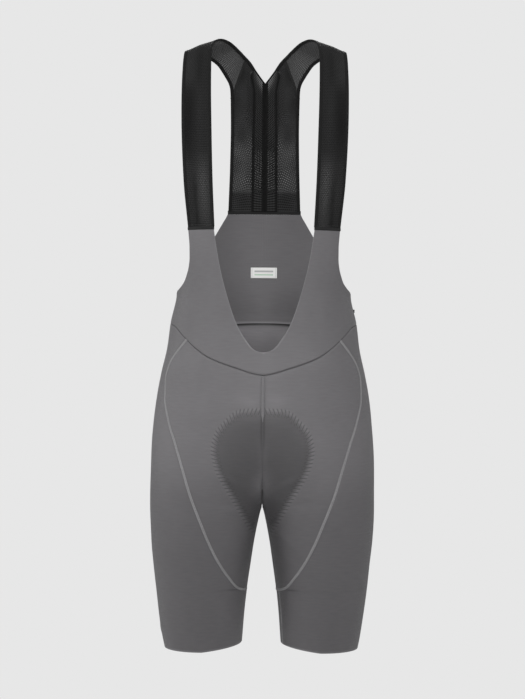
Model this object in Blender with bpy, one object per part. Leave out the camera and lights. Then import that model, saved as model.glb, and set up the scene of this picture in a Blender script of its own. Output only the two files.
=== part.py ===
"""Cycling bib shorts, filled out as worn with no wearer: grey warp-knit shorts and bib on black mesh straps.

Metres, +Z up. The wearer faces -Y, and the wearer's left is +X. The origin is on the wearer's mid-plane,
between the undersides of the two straps where they cross the top of the shoulders.

The cloth follows one hollow form. A place on the form is (u, z): z is the height, and u runs round one half of the
garment, from 0 at the centre front by 0.5 at the side to 1 at the centre back. Below the crotch, u runs once round
a leg, from the inner leg by the front, the outside and the back to the inner leg again.
"""

import math

import bmesh
import bpy
import numpy as np

# Cloth
KNIT = 0.0012  # wall of the warp knit
MESH = 0.0010  # wall of the strap mesh
TRIM = 0.0014  # wall of the bands and the centre tape
SEAM_GAP = 0.0003  # between two pieces at a seam, and between two layers
STRAP_SEAM_GAP = 0.0012  # along a strap's slanting seam, whose two sides turn differently
LOOSE_GAP = 0.0014  # between the two back panels where they lap
PAD_MIDDLE = 0.0042  # thickness of the padded insert along its middle
PAD_RIM = 0.0015  # and at its rim
PAD_CLEAR = 0.0032  # between the knit and the insert
PAD_CROTCH_RISE = 0.0080  # how much further the insert stands off at the crotch fold

# Heights
STRAP_FOOT = -0.2930
STRAP_END_TALL = 0.0036
BAND_TOP = -0.2495
BAND_TALL = 0.0052
BAND_BACK = 0.1088  # how far behind the origin the racer band's middle lies
BAND_BEND = 0.0012  # how much further forward its ends are
UNDERARM = -0.3850
NECK_POINT = -0.4765
WAIST_SIDE = -0.4310
WAIST_MIDDLE = -0.5110
BACK_OVERLAP_EDGE = -0.4295  # the loose edge of the upper back panel, at the centre back
BACK_OVERLAP_DROP = 0.0120  # how much lower that edge is at the sides
BACK_OVERLAP_CURVE = 0.45  # over how much of u it drops
BACK_LOWER_TOP_SIDE = -0.4020
BACK_LOWER_TOP_MIDDLE = -0.4210
RISE_START = -0.5600  # where the cross-section starts to divide into two legs
CROTCH = -0.7115
CROTCH_FOLD = 0.4  # the share of the half width over which the crotch's fold fades out
FLATLOCK_END = -0.8420
HEM = -0.9320
HEM_INNER_RISE = 0.0080  # how much higher the hem is at the inner leg

# Widths
STRAP_FOOT_INNER = 0.0754
STRAP_FOOT_OUTER = 0.1140
BAND_HALF = 0.0576
TAPE_HALF = 0.0047
STRIP_TOP_WIDE = 0.0200
STRIP_FOOT_WIDE = 0.0160
RACER_OUTER_FROM = 0.55  # the share of the band's half width where the columns below the strap begin
LABEL_WIDE = 0.0420
LABEL_TALL = 0.0170
LABEL_MIDDLE = -0.3497
TAB_MIDDLE = -0.4117
TAB_TALL = 0.0050
TAB_OUT = 0.0032
TAB_THICK = 0.0016
TAB_CLEAR = 0.0004
U_STEP, Z_STEP = 0.0020, 0.0006  # the steps over which the form's slopes are measured

# The form, a row for each height: the inner leg, the outer side, the depths of the trunk to the front and the back,
# the squareness of its section (2 is an ellipse), and the depths of one thigh to the front and the back.
FORM_COLUMNS = ("z", "inner", "outer", "front", "back", "square", "thigh_front", "thigh_back")
FORM = np.array(
    (
        (-0.2450, 0.0000, 0.1460, 0.1100, 0.1090, 3.0, 0.097, 0.112),
        (-0.2900, 0.0000, 0.1380, 0.1080, 0.1060, 3.0, 0.097, 0.112),
        (-0.3400, 0.0000, 0.1360, 0.1060, 0.0990, 2.9, 0.097, 0.112),
        (-0.3860, 0.0000, 0.1345, 0.1035, 0.0950, 2.8, 0.097, 0.112),
        (-0.4320, 0.0000, 0.1436, 0.1040, 0.0970, 2.6, 0.097, 0.112),
        (-0.4700, 0.0000, 0.1486, 0.1060, 0.1030, 2.5, 0.097, 0.112),
        (-0.5070, 0.0000, 0.1570, 0.1080, 0.1110, 2.4, 0.097, 0.112),
        (-0.5440, 0.0000, 0.1638, 0.1080, 0.1180, 2.3, 0.097, 0.112),
        (-0.5810, 0.0000, 0.1684, 0.1070, 0.1220, 2.3, 0.097, 0.112),
        (-0.6200, 0.0000, 0.1714, 0.1050, 0.1240, 2.3, 0.097, 0.112),
        (-0.6560, 0.0000, 0.1726, 0.1020, 0.1220, 2.3, 0.096, 0.110),
        (-0.7115, 0.0002, 0.1733, 0.0980, 0.1160, 2.2, 0.093, 0.105),
        (-0.7250, 0.0036, 0.1731, 0.0980, 0.1160, 2.2, 0.092, 0.1032),
        (-0.7670, 0.0120, 0.1710, 0.0980, 0.1160, 2.2, 0.087, 0.0960),
        (-0.8045, 0.0176, 0.1672, 0.0980, 0.1160, 2.1, 0.081, 0.0880),
        (-0.8420, 0.0229, 0.1631, 0.0980, 0.1160, 2.1, 0.075, 0.0800),
        (-0.8790, 0.0268, 0.1585, 0.0980, 0.1160, 2.1, 0.070, 0.0730),
        (-0.9160, 0.0296, 0.1527, 0.0980, 0.1160, 2.1, 0.065, 0.0670),
        (-0.9450, 0.0320, 0.1465, 0.0980, 0.1160, 2.1, 0.062, 0.0630),
    )
)

# Cut lines as seen from the front, a row for each bend: x and z.
NECK_LINE = (
    (0.0000, NECK_POINT),
    (0.0070, -0.4753),
    (0.0143, -0.4722),
    (0.0260, -0.4579),
    (0.0390, -0.4370),
    (0.0548, -0.3924),
    (0.0670, -0.3448),
    (0.0741, -0.3016),
    (STRAP_FOOT_INNER, STRAP_FOOT),
)
ARMHOLE_LINE = (
    (0.1345, UNDERARM),
    (0.1300, -0.3818),
    (0.1263, -0.3782),
    (0.1203, -0.3700),
    (0.1170, -0.3613),
    (0.1138, -0.3500),
    (0.1120, -0.3346),
    (0.1120, -0.3200),
    (STRAP_FOOT_OUTER, STRAP_FOOT),
)
WAIST_LINE = (
    (0.0000, WAIST_MIDDLE),
    (0.0149, -0.5084),
    (0.0357, -0.5018),
    (0.0625, -0.4929),
    (0.0849, -0.4830),
    (0.1030, -0.4698),
    (0.1207, -0.4531),
    (0.1350, -0.4375),
    (0.1434, WAIST_SIDE),
)
FLATLOCK_LINE = (
    (0.1159, -0.4580),
    (0.1297, -0.4753),
    (0.1420, -0.4952),
    (0.1482, -0.5189),
    (0.1489, -0.5466),
    (0.1424, -0.5812),
    (0.1315, -0.6153),
    (0.1200, -0.6530),
    (0.1076, -0.6937),
    (0.0929, -0.7316),
    (0.0777, -0.7686),
    (0.0641, -0.7955),
    (0.0515, -0.8153),
    (0.0353, -0.8360),
    (0.0229, FLATLOCK_END),
)
BACK_ARMHOLE_LINE = (
    (0.1345, UNDERARM),
    (0.1170, -0.3540),
    (0.0955, -0.3180),
    (0.0765, -0.2860),
    (0.0652, -0.2665),
    (0.0590, -0.2562),
)
# The rim of the insert, from its front end round the inner leg.
PAD_FRONT_RIM = (
    (0.0000, -0.5594),
    (0.0340, -0.5615),
    (0.0566, -0.5778),
    (0.0738, -0.6020),
    (0.0776, -0.6245),
    (0.0725, -0.6506),
    (0.0567, -0.6816),
    (0.0416, -0.7071),
    (0.0244, -0.7384),
    (0.0110, -0.7600),
)
PAD_BACK_RIM = (
    (0.0000, -0.5850),
    (0.0420, -0.5880),
    (0.0720, -0.6040),
    (0.0900, -0.6300),
    (0.0930, -0.6550),
    (0.0830, -0.6850),
    (0.0610, -0.7120),
    (0.0400, -0.7330),
    (0.0230, -0.7500),
    (0.0110, -0.7600),
)

# One shoulder strap, a row for each stage from the bib over the shoulder to the seam with the racer back: x, y and z
# of its inner edge, then of its outer edge.
STRAP = (
    (0.0785, -0.1060, -0.2200, 0.1205, -0.0940, -0.2200),
    (0.0815, -0.0890, -0.1280, 0.1250, -0.0800, -0.1280),
    (0.0832, -0.0620, -0.0695, 0.1260, -0.0550, -0.0700),
    (0.0838, -0.0350, -0.0290, 0.1257, -0.0360, -0.0400),
    (0.0826, -0.0180, -0.0085, 0.1250, -0.0240, -0.0230),
    (0.0785, -0.0020, 0.0050, 0.1240, -0.0120, -0.0130),
    (0.0725, 0.0080, 0.0100, 0.1215, 0.0000, -0.0108),
    (0.0665, 0.0160, 0.0114, 0.1150, 0.0130, -0.0110),
    (0.0570, 0.0310, 0.0100, 0.1010, 0.0320, -0.0120),
    (0.0480, 0.0450, 0.0050, 0.0870, 0.0440, -0.0160),
    (0.0415, 0.0515, -0.0005, 0.0748, 0.0520, -0.0240),
    (0.0380, 0.0545, -0.0035, 0.0681, 0.0570, -0.0328),
    (0.0357, 0.0563, -0.0058, 0.0623, 0.0620, -0.0415),
    (0.0338, 0.0577, -0.0076, 0.0572, 0.0670, -0.0503),
    (0.0320, 0.0589, -0.0093, 0.0549, 0.0715, -0.0590),
    (0.0304, 0.0600, -0.0107, 0.0540, 0.0760, -0.0728),
)
# The racer back: its neck edge from the strap seam to the point of the V, and its side edge down to the band.
RACER_NECK = (
    (0.0304, 0.0600, -0.0107),
    (0.0250, 0.0630, -0.0160),
    (0.0138, 0.0690, -0.0320),
    (0.0000, 0.0750, -0.0498),
)
RACER_SIDE = (
    (0.0540, 0.0760, -0.0728),
    (0.0535, 0.0840, -0.1150),
    (0.0545, 0.0960, -0.1750),
    (0.0570, 0.1075, BAND_TOP),
)
RACER_MIDDLE = (
    (0.0, 0.0750, -0.0498),
    (0.0, 0.0880, -0.1150),
    (0.0, 0.0995, -0.1750),
    (0.0, 0.1085, BAND_TOP),
)

# Facets: how many cells along each seam. Two pieces that meet share these points.
FRONT_COLUMNS = 9  # centre front to the top of the flatlock seam
HIP_COLUMNS = 4  # from there to the side seam
BACK_COLUMNS = 11  # side seam to centre back
RISE_ROWS = 8  # centre front seam down to the crotch
INSEAM_ROWS = 5  # crotch to the end of the flatlock seam
LOWER_ROWS = 4  # from there to the hem
BIB_ROWS = 12
BACK_ROWS = 8
PAD_ROWS = 10  # from each end of the insert to the crotch fold
PAD_COLUMNS = np.array((0.0, 0.08, 0.30, 0.55, 0.80, 1.0))  # from the insert's middle to its rim, as shares of the way
PAD_TAPER = 4  # over how many rows it thins to its ends, and stands off at the fold
PAD_END_WIDE = 0.10  # how much of u each end takes on one side

GREY_KNIT = ((0.150, 0.145, 0.152, 1.0), 0.62)
BLACK_MESH = ((0.022, 0.022, 0.024, 1.0), 0.70)
BLACK_TRIM = ((0.012, 0.012, 0.013, 1.0), 0.60)
PAD_FOAM = ((0.070, 0.068, 0.072, 1.0), 0.80)
LABEL_WHITE = ((0.780, 0.780, 0.760, 1.0), 0.60)


# ---------------------------------------------------------------- curves


def smooth_through(ts, values, t):
    """Values at t on a smooth curve through a table's rows, which never overshoots them."""
    ts, values, t = np.asarray(ts, float), np.asarray(values, float), np.asarray(t, float)
    steps = np.diff(ts)
    rises = np.diff(values) / steps
    slopes = np.empty_like(values)
    slopes[0], slopes[-1] = rises[0], rises[-1]
    same_way = rises[:-1] * rises[1:] > 0
    slopes[1:-1] = np.where(same_way, 2 * rises[:-1] * rises[1:] / np.where(same_way, rises[:-1] + rises[1:], 1), 0)
    k = np.clip(np.searchsorted(ts, t) - 1, 0, len(ts) - 2)
    h = steps[k]
    s = np.clip((t - ts[k]) / h, 0, 1)
    return (
        values[k] * (1 + 2 * s) * (1 - s) ** 2
        + slopes[k] * h * s * (1 - s) ** 2
        + values[k + 1] * s**2 * (3 - 2 * s)
        - slopes[k + 1] * h * s**2 * (1 - s)
    )


def even_points(rows, cells, start=0.0, stop=1.0):
    """Points at even distances on the smooth curve through some rows, from one fraction of its length to another."""
    rows = np.asarray(rows, float)
    lengths = np.concatenate(([0], np.cumsum(np.linalg.norm(np.diff(rows, axis=0), axis=1))))
    at = np.linspace(start, stop, cells + 1) * lengths[-1]
    return np.stack([smooth_through(lengths, rows[:, c], at) for c in range(rows.shape[1])], axis=-1)


def joined(*runs):
    """Some runs of points as one, with the point that two runs share kept once."""
    return np.concatenate([runs[0]] + [run[1:] for run in runs[1:]])


def patch(bottom, top, left, right, columns_at=None):
    """A grid of points spread between four edges: rows go from bottom to top, and columns from left to right.

    The columns are even, or at the fractions of the width that columns_at gives.
    """
    bottom, top, left, right = (np.asarray(edge, float) for edge in (bottom, top, left, right))
    s = (np.linspace(0, 1, len(bottom)) if columns_at is None else columns_at)[None, :, None]
    t = np.linspace(0, 1, len(left))[:, None, None]
    ruled = (1 - t) * bottom[None] + t * top[None] + (1 - s) * left[:, None] + s * right[:, None]
    corners = (1 - t) * ((1 - s) * bottom[0] + s * bottom[-1]) + t * ((1 - s) * top[0] + s * top[-1])
    return ruled - corners


# ---------------------------------------------------------------- the form


def form_column(name, z):
    return smooth_through(-FORM[:, 0], FORM[:, FORM_COLUMNS.index(name)], -z)


def soft_step(t):
    t = np.clip(t, 0, 1)
    return t**2 * (3 - 2 * t)


def form_point(u, z):
    """The point of the form at (u, z), on the wearer's left half.

    Both the trunk and the thigh give a depth for each share of the width. Their squares are mixed on the way down to
    the crotch, so that the centre line runs in an elliptic arc from the front under the crotch to the back.
    """
    u, z = np.broadcast_arrays(np.asarray(u, float), np.asarray(z, float))
    thigh = z < CROTCH
    turned = np.where(thigh, u % 1.0, np.where(u < 0, -u, np.where(u > 1, 2 - u, u)))
    mirrored = np.where(~thigh & ((u < 0) | (u > 1)), -1.0, 1.0)
    inner, outer = form_column("inner", z), form_column("outer", z)
    square = form_column("square", z)
    in_front = turned < 0.5
    angle = np.pi * turned
    down = np.clip((RISE_START - z) / (RISE_START - CROTCH), 0, 1)
    leg_share = soft_step(down)
    width = leg_share * np.sin(angle) ** 2 + (1 - leg_share) * np.abs(np.sin(angle)) ** (2 / square)
    trunk_depth = np.where(in_front, form_column("front", z), form_column("back", z))
    trunk = trunk_depth * (1 - width**square) ** (1 / square)
    thigh_depth = np.where(in_front, form_column("thigh_front", z), form_column("thigh_back", z))
    thigh = thigh_depth * (1 - np.abs(2 * width - 1) ** square) ** (1 / square)
    share = (1 - down**2) ** (1 + soft_step(width / CROTCH_FOLD))
    y = np.sqrt(share * trunk**2 + (1 - share) * thigh**2) * np.where(in_front, -1, 1)
    return np.stack([(inner + (outer - inner) * width) * mirrored, y, z], axis=-1)


def form_inward(u, z):
    """The unit direction from the form into the hollow."""
    round_it = form_point(u + U_STEP, z) - form_point(u - U_STEP, z)
    down_it = form_point(u, z - Z_STEP) - form_point(u, z + Z_STEP)
    normal = np.cross(round_it, down_it)
    return normal / np.linalg.norm(normal, axis=-1, keepdims=True)


def u_at(x, z, behind=False):
    """The u of the form's point with this x at this height, in front or behind."""
    x, z = np.broadcast_arrays(np.asarray(x, float), np.asarray(z, float))
    low, high = np.zeros(x.shape), np.full(x.shape, 0.5)
    for _ in range(40):
        middle = (low + high) / 2
        short = form_point(1 - middle if behind else middle, z)[..., 0] < x
        low, high = np.where(short, middle, low), np.where(short, high, middle)
    return 1 - low if behind else low


def on_form(rows, behind=False):
    """Cut-line points (x, z) as places (u, z)."""
    rows = np.asarray(rows, float)
    return np.stack([u_at(rows[:, 0], rows[:, 1], behind), rows[:, 1]], axis=-1)


# ---------------------------------------------------------------- seams, as places (u, z)


def rise_heights(top, rows):
    """Heights down the centre seam from top to the crotch, at even steps along the seam's curve."""
    under = RISE_START - (RISE_START - CROTCH) * np.sin(np.linspace(0, np.pi / 2, 90))
    fine = joined(np.linspace(top, RISE_START, 40), under)
    depth = form_point(0.0, fine)[:, 1]
    length = np.concatenate(([0], np.cumsum(np.hypot(np.diff(fine), np.diff(depth)))))
    return np.interp(np.linspace(0, length[-1], rows + 1), length, fine)


def straight_down(u, heights):
    return np.stack([np.full(len(heights), float(u)), heights], axis=-1)


def hem_height(u):
    return HEM + HEM_INNER_RISE * np.maximum(0, np.cos(2 * np.pi * u))


FLATLOCK_ROWS = RISE_ROWS + INSEAM_ROWS + FRONT_COLUMNS
CENTRE_BACK_ROWS = FLATLOCK_ROWS - INSEAM_ROWS

flatlock = on_form(even_points(FLATLOCK_LINE, FLATLOCK_ROWS))
flatlock[-1] = (0.0, FLATLOCK_END)
waist_line = on_form(WAIST_LINE)
waist_line[-1] = (0.5, WAIST_SIDE)


def waist_height(u):
    return smooth_through(waist_line[:, 0], waist_line[:, 1], np.minimum(u, 1 - u))


def overlap_height(u):
    """The loose lower edge of the upper back panel."""
    return BACK_OVERLAP_EDGE - BACK_OVERLAP_DROP * soft_step((1 - u) / BACK_OVERLAP_CURVE)


flatlock[0, 1] = waist_height(flatlock[0, 0])
waist_front_u = np.linspace(0, flatlock[0, 0], FRONT_COLUMNS + 1)
waist_hip_u = np.linspace(flatlock[0, 0], 0.5, HIP_COLUMNS + 1)
waist_back_u = np.linspace(0.5, 1.0, BACK_COLUMNS + 1)


def waist_places(us):
    return np.stack([us, waist_height(us)], axis=-1)


inseam = np.linspace(CROTCH, FLATLOCK_END, INSEAM_ROWS + 1)
lower_inseam = np.linspace(FLATLOCK_END, float(hem_height(0.0)), LOWER_ROWS + 1)


# ---------------------------------------------------------------- solids


def material(name, look):
    found = bpy.data.materials.get(name)
    if found:
        return found
    made = bpy.data.materials.new(name)
    made.use_nodes = True
    shader = made.node_tree.nodes["Principled BSDF"]
    shader.inputs["Base Color"].default_value = look[0]
    shader.inputs["Roughness"].default_value = look[1]
    shader.inputs["Metallic"].default_value = 0.0
    return made


def set_back(points, edges="btlr", gap=SEAM_GAP / 2):
    """Moves a grid's edges in by half a seam gap: b is its first row, t its last, l its first column, r its last."""
    moved = points.copy()
    moves = {
        "b": (np.s_[0, :], np.s_[1, :]),
        "t": (np.s_[-1, :], np.s_[-2, :]),
        "l": (np.s_[:, 0], np.s_[:, 1]),
        "r": (np.s_[:, -1], np.s_[:, -2]),
    }
    for edge in edges:
        here, inside = moves[edge]
        way = points[inside] - points[here]
        length = np.linalg.norm(way, axis=-1, keepdims=True)
        moved[here] += gap * way / np.maximum(length, 1e-9)
    return moved


def add_grid(bm, inward_layer, outer, inward, mirror=False):
    """Adds a grid of faces, moved onto the given points. Each vertex keeps its direction into the hollow."""
    rows, columns = outer.shape[:2]
    made = bmesh.ops.create_grid(bm, x_segments=columns - 1, y_segments=rows - 1, size=1.0)
    side = np.array((-1.0 if mirror else 1.0, 1.0, 1.0))
    for vertex in made["verts"]:
        column = round((vertex.co.x + 1) / 2 * (columns - 1))
        row = round((vertex.co.y + 1) / 2 * (rows - 1))
        vertex.co = outer[row, column] * side
        vertex[inward_layer] = inward[row, column] * side


def cloth(name, look_name, look, sheets, thickness):
    """One closed wall from one or more grids that share their middle edge: (outer points, inward directions, mirror).

    The thickness is one number, or an array like the first grid's points, which every grid then shares.
    """
    bm = bmesh.new()
    layer = bm.verts.layers.float_vector.new("inward")
    for outer, inward, mirror in sheets:
        add_grid(bm, layer, outer, inward * np.asarray(thickness)[..., None], mirror)
    bmesh.ops.remove_doubles(bm, verts=bm.verts, dist=1e-6)
    bmesh.ops.recalc_face_normals(bm, faces=bm.faces)
    lifted = bmesh.ops.extrude_face_region(bm, geom=list(bm.faces), use_keep_orig=True)
    for item in lifted["geom"]:
        if isinstance(item, bmesh.types.BMVert):
            item.co += item[layer]
    bmesh.ops.recalc_face_normals(bm, faces=bm.faces)
    bmesh.ops.triangulate(bm, faces=bm.faces)
    bm.verts.layers.float_vector.remove(layer)
    mesh = bpy.data.meshes.new(name)
    bm.to_mesh(mesh)
    bm.free()
    mesh.materials.append(material(look_name, look))
    mesh.shade_smooth()
    mesh.set_sharp_from_angle(angle=math.radians(50))
    bpy.context.scene.collection.objects.link(bpy.data.objects.new(name, mesh))


def form_sheet(places, edges, inset=0.0):
    """Points and inward directions of a grid of places on the form, with its seam edges set back."""
    u, z = places[..., 0], places[..., 1]
    inward = form_inward(u, z)
    fold = np.isclose(z, CROTCH) & (np.isclose(u, 0) | np.isclose(u, 1))
    inward[fold] = np.array((1.0, 0.0, 1.0)) / math.sqrt(2)
    return set_back(form_point(u, z), edges) + inset * inward, inward


def free_sheet(points, towards):
    """Inward directions of a grid that doesn't lie on the form: square to it, on the side where towards lies."""
    along = np.gradient(points, axis=0)
    across = np.gradient(points, axis=1)
    normal = np.cross(along, across)
    normal /= np.linalg.norm(normal, axis=-1, keepdims=True)
    flip = np.einsum("...c,...c->...", normal, np.asarray(towards, float) - points) < 0
    normal[flip] *= -1
    return normal


# ---------------------------------------------------------------- the knit panels


def bib_front():
    bottom = joined(waist_places(waist_front_u), waist_places(waist_hip_u))
    columns = len(bottom) - 1
    centre_rows = 2
    centre = straight_down(0, np.linspace(WAIST_MIDDLE, NECK_POINT, centre_rows + 1))
    neck = on_form(even_points(NECK_LINE, BIB_ROWS - centre_rows))
    side_rows = 4
    side = straight_down(0.5, np.linspace(WAIST_SIDE, UNDERARM, side_rows + 1))
    armhole = on_form(even_points(ARMHOLE_LINE, BIB_ROWS - side_rows))
    armhole[0] = (0.5, UNDERARM)
    neck[0] = (0.0, NECK_POINT)
    top = on_form(np.linspace((STRAP_FOOT_INNER, STRAP_FOOT), (STRAP_FOOT_OUTER, STRAP_FOOT), columns + 1))
    places = patch(bottom, top, joined(centre, neck), joined(side, armhole))
    points, inward = form_sheet(places, "btr")
    points[: centre_rows + 1, 0, 0] = 0.0
    inward[: centre_rows + 1, 0, 0] = 0.0
    cloth("bib_front", "grey_knit", GREY_KNIT, [(points, inward, False), (points, inward, True)], KNIT)


def back_upper():
    """The panel at the small of the back. It lies inside the panel below it, and ends at a loose edge."""
    side_rows = 3
    side = straight_down(0.5, np.linspace(overlap_height(0.5), UNDERARM, side_rows + 1))
    armhole = on_form(even_points(BACK_ARMHOLE_LINE, BACK_ROWS - side_rows), behind=True)
    armhole[0] = (0.5, UNDERARM)
    top_height = BAND_TOP - BAND_TALL - SEAM_GAP
    top_u = np.linspace(armhole[-1, 0], 1.0, BACK_COLUMNS + 1)
    bottom = np.stack([waist_back_u, overlap_height(waist_back_u)], axis=-1)
    top = np.stack([top_u, np.full(BACK_COLUMNS + 1, top_height)], axis=-1)
    armhole[-1] = top[0]
    middle = straight_down(1, np.linspace(BACK_OVERLAP_EDGE, top_height, BACK_ROWS + 1))
    places = patch(bottom, top, joined(side, armhole), middle)
    points, inward = form_sheet(places, "l", inset=KNIT + LOOSE_GAP)
    points[:, -1, 0] = 0.0
    inward[:, -1, 0] = 0.0
    cloth("back_upper", "grey_knit", GREY_KNIT, [(points, inward, False), (points, inward, True)], KNIT)


def back_lower():
    rows = 3
    bottom = waist_places(waist_back_u)
    rise = 0.5 - 0.5 * np.cos(np.linspace(0, np.pi, BACK_COLUMNS + 1))
    top_height = BACK_LOWER_TOP_SIDE + (BACK_LOWER_TOP_MIDDLE - BACK_LOWER_TOP_SIDE) * rise
    top = np.stack([waist_back_u, top_height], axis=-1)
    side = straight_down(0.5, np.linspace(WAIST_SIDE, BACK_LOWER_TOP_SIDE, rows + 1))
    middle = straight_down(1, np.linspace(WAIST_MIDDLE, BACK_LOWER_TOP_MIDDLE, rows + 1))
    points, inward = form_sheet(patch(bottom, top, side, middle), "bl")
    points[:, -1, 0] = 0.0
    inward[:, -1, 0] = 0.0
    cloth("back_lower", "grey_knit", GREY_KNIT, [(points, inward, False), (points, inward, True)], KNIT)


def front_legs():
    top = waist_places(waist_front_u)
    split = len(flatlock) - 1 - FRONT_COLUMNS
    right = flatlock[: split + 1]
    bottom = flatlock[split:][::-1]
    centre = joined(straight_down(0, rise_heights(WAIST_MIDDLE, RISE_ROWS)), straight_down(0, inseam))
    places = patch(top, bottom, centre, right)
    points, inward = form_sheet(places, "btlr")
    for side, mirror in (("left", False), ("right", True)):
        cloth(f"front_leg_{side}", "grey_knit", GREY_KNIT, [(points, inward, mirror)], KNIT)


def side_legs():
    top = joined(waist_places(waist_hip_u), waist_places(waist_back_u))
    left = joined(flatlock, straight_down(0, lower_inseam))
    centre_back = straight_down(1, rise_heights(WAIST_MIDDLE, CENTRE_BACK_ROWS))
    right = joined(centre_back, straight_down(1, inseam), straight_down(1, lower_inseam))
    hem_u = np.linspace(0, 1, len(top))
    bottom = np.stack([hem_u, hem_height(hem_u)], axis=-1)
    places = patch(top, bottom, left, right)
    points, inward = form_sheet(places, "blr")
    for side, mirror in (("left", False), ("right", True)):
        cloth(f"side_leg_{side}", "grey_knit", GREY_KNIT, [(points, inward, mirror)], KNIT)


# ---------------------------------------------------------------- the insert


def chamois():
    """The padded insert: rows run from its front end under the crotch to its back end, columns from the middle out."""
    halves = []
    for rim, behind in ((PAD_FRONT_RIM, False), (PAD_BACK_RIM, True)):
        edge = on_form(even_points(rim, PAD_ROWS), behind)
        edge[-1, 0] = 1.0 if behind else 0.0
        middle = straight_down(1 if behind else 0, rise_heights(rim[0][1], PAD_ROWS))
        edge[0] = middle[0]
        edge[0, 0] += -PAD_END_WIDE if behind else PAD_END_WIDE
        halves.append(middle[:, None] + (edge - middle)[:, None] * PAD_COLUMNS[None, :, None])
    places = joined(halves[0], halves[1][::-1])
    points, inward = form_sheet(places, "")
    rows = np.arange(len(points))
    stand_off = KNIT + PAD_CLEAR + PAD_CROTCH_RISE * soft_step(1 - np.abs(rows - PAD_ROWS) / PAD_TAPER)
    inward[:, 0, 0] = 0.0
    inward[PAD_ROWS, 0] = (0.0, 0.0, 1.0)
    inward[:, 0] /= np.linalg.norm(inward[:, 0], axis=-1, keepdims=True)
    points = points + stand_off[:, None, None] * inward
    points[:, 0, 0] = 0.0
    from_ends = np.minimum(rows, rows[::-1]) / PAD_TAPER
    fullness = np.minimum(1, from_ends)[:, None] * (1 - PAD_COLUMNS**3)[None, :]
    thickness = PAD_RIM + (PAD_MIDDLE - PAD_RIM) * fullness
    cloth("chamois", "pad_foam", PAD_FOAM, [(points, inward, False), (points, inward, True)], thickness)


# ---------------------------------------------------------------- straps and racer back


def strap_grid():
    """The strap's cloth, from its foot to the racer seam: rows run along it, columns from its inner edge out."""
    rows, columns = 22, 3
    foot = STRAP_FOOT + STRAP_END_TALL + 2 * SEAM_GAP
    inner_foot = form_point(u_at(STRAP_FOOT_INNER, STRAP_FOOT), STRAP_FOOT)
    outer_foot = form_point(u_at(STRAP_FOOT_OUTER, STRAP_FOOT), STRAP_FOOT)
    inner_foot[2] = outer_foot[2] = foot
    edges = even_points([(*inner_foot, *outer_foot), *STRAP], rows)
    across = np.linspace(0, 1, columns + 1)[None, :, None]
    return edges[:, None, :3] * (1 - across) + edges[:, None, 3:] * across


def straps():
    points = set_back(strap_grid(), "t", STRAP_SEAM_GAP / 2)
    inward = free_sheet(points, (0.10, 0.0, -0.20))
    for side, mirror in (("left", False), ("right", True)):
        cloth(f"strap_{side}", "black_mesh", BLACK_MESH, [(points, inward, mirror)], MESH)


def strap_ends():
    """The stitched band at each strap's foot, between the strap and the bib."""
    x = np.linspace(STRAP_FOOT_INNER, STRAP_FOOT_OUTER, 4)
    row = form_point(u_at(x, STRAP_FOOT), STRAP_FOOT)
    points = np.stack([row, row])
    points[0, :, 2] = STRAP_FOOT + SEAM_GAP / 2
    points[1, :, 2] = STRAP_FOOT + STRAP_END_TALL + SEAM_GAP / 2
    inward = free_sheet(points, (0.0, 0.0, STRAP_FOOT))
    for side, mirror in (("left", False), ("right", True)):
        cloth(f"strap_end_{side}", "black_trim", BLACK_TRIM, [(points, inward, mirror)], TRIM)


def racer_grid():
    """Half of the racer back: rows run down it, columns from the centre seam out.

    The first column is as wide as half the tape, and the second as wide as a lining strip.
    """
    rows = 10
    neck = np.array(RACER_NECK[::-1])
    top_x = np.array((0.0, TAPE_HALF, TAPE_HALF + STRIP_TOP_WIDE))
    neck = np.stack([smooth_through(neck[:, 0], neck[:, c], top_x) for c in range(3)], axis=-1)
    top = np.concatenate([neck, strap_grid()[-1]])
    side = even_points(RACER_SIDE, rows)
    middle = even_points(RACER_MIDDLE, rows)
    side[0], middle[0] = top[-1], top[0]
    foot_x = np.array((0.0, TAPE_HALF, TAPE_HALF + STRIP_FOOT_WIDE))
    share = np.concatenate([foot_x / BAND_HALF, np.linspace(RACER_OUTER_FROM, 1.0, len(top) - 3)])
    bottom = middle[-1] + (side[-1] - middle[-1]) * share[:, None]
    return patch(top, bottom, middle, side, share)


def racer_back():
    """The two mesh halves, and on the wearer's side of them the centre tape and the two lining strips."""
    points = set_back(racer_grid(), "tl")
    points[0, 3:] = set_back(racer_grid(), "b", STRAP_SEAM_GAP / 2)[0, 3:]
    inward = free_sheet(points, (0.0, 0.0, -0.15))
    inward[:, 0, 0] = 0.0
    lifted = racer_grid() + (MESH + SEAM_GAP) * inward
    tape, tape_inward = lifted[1:, :2], inward[1:, :2]
    strip, strip_inward = set_back(lifted[1:, 1:3], "l", SEAM_GAP), inward[1:, 1:3]
    for side, mirror in (("left", False), ("right", True)):
        cloth(f"racer_{side}", "black_mesh", BLACK_MESH, [(points, inward, mirror)], MESH)
        cloth(f"racer_strip_{side}", "black_mesh", BLACK_MESH, [(strip, strip_inward, mirror)], MESH)
    halves = [(tape, tape_inward, mirror) for mirror in (False, True)]
    cloth("racer_tape", "black_trim", BLACK_TRIM, halves, TRIM)


def racer_band():
    x = np.linspace(-BAND_HALF, BAND_HALF, 13)
    y = BAND_BACK - BAND_BEND * (x / BAND_HALF) ** 2
    heights = (BAND_TOP - SEAM_GAP, BAND_TOP - BAND_TALL)
    points = np.stack([np.stack([x, y, np.full_like(x, z)], axis=-1) for z in heights])
    inward = np.zeros_like(points)
    inward[..., 1] = -1.0
    cloth("racer_band", "black_trim", BLACK_TRIM, [(points, inward, False)], TRIM)


# ---------------------------------------------------------------- small trim


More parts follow.
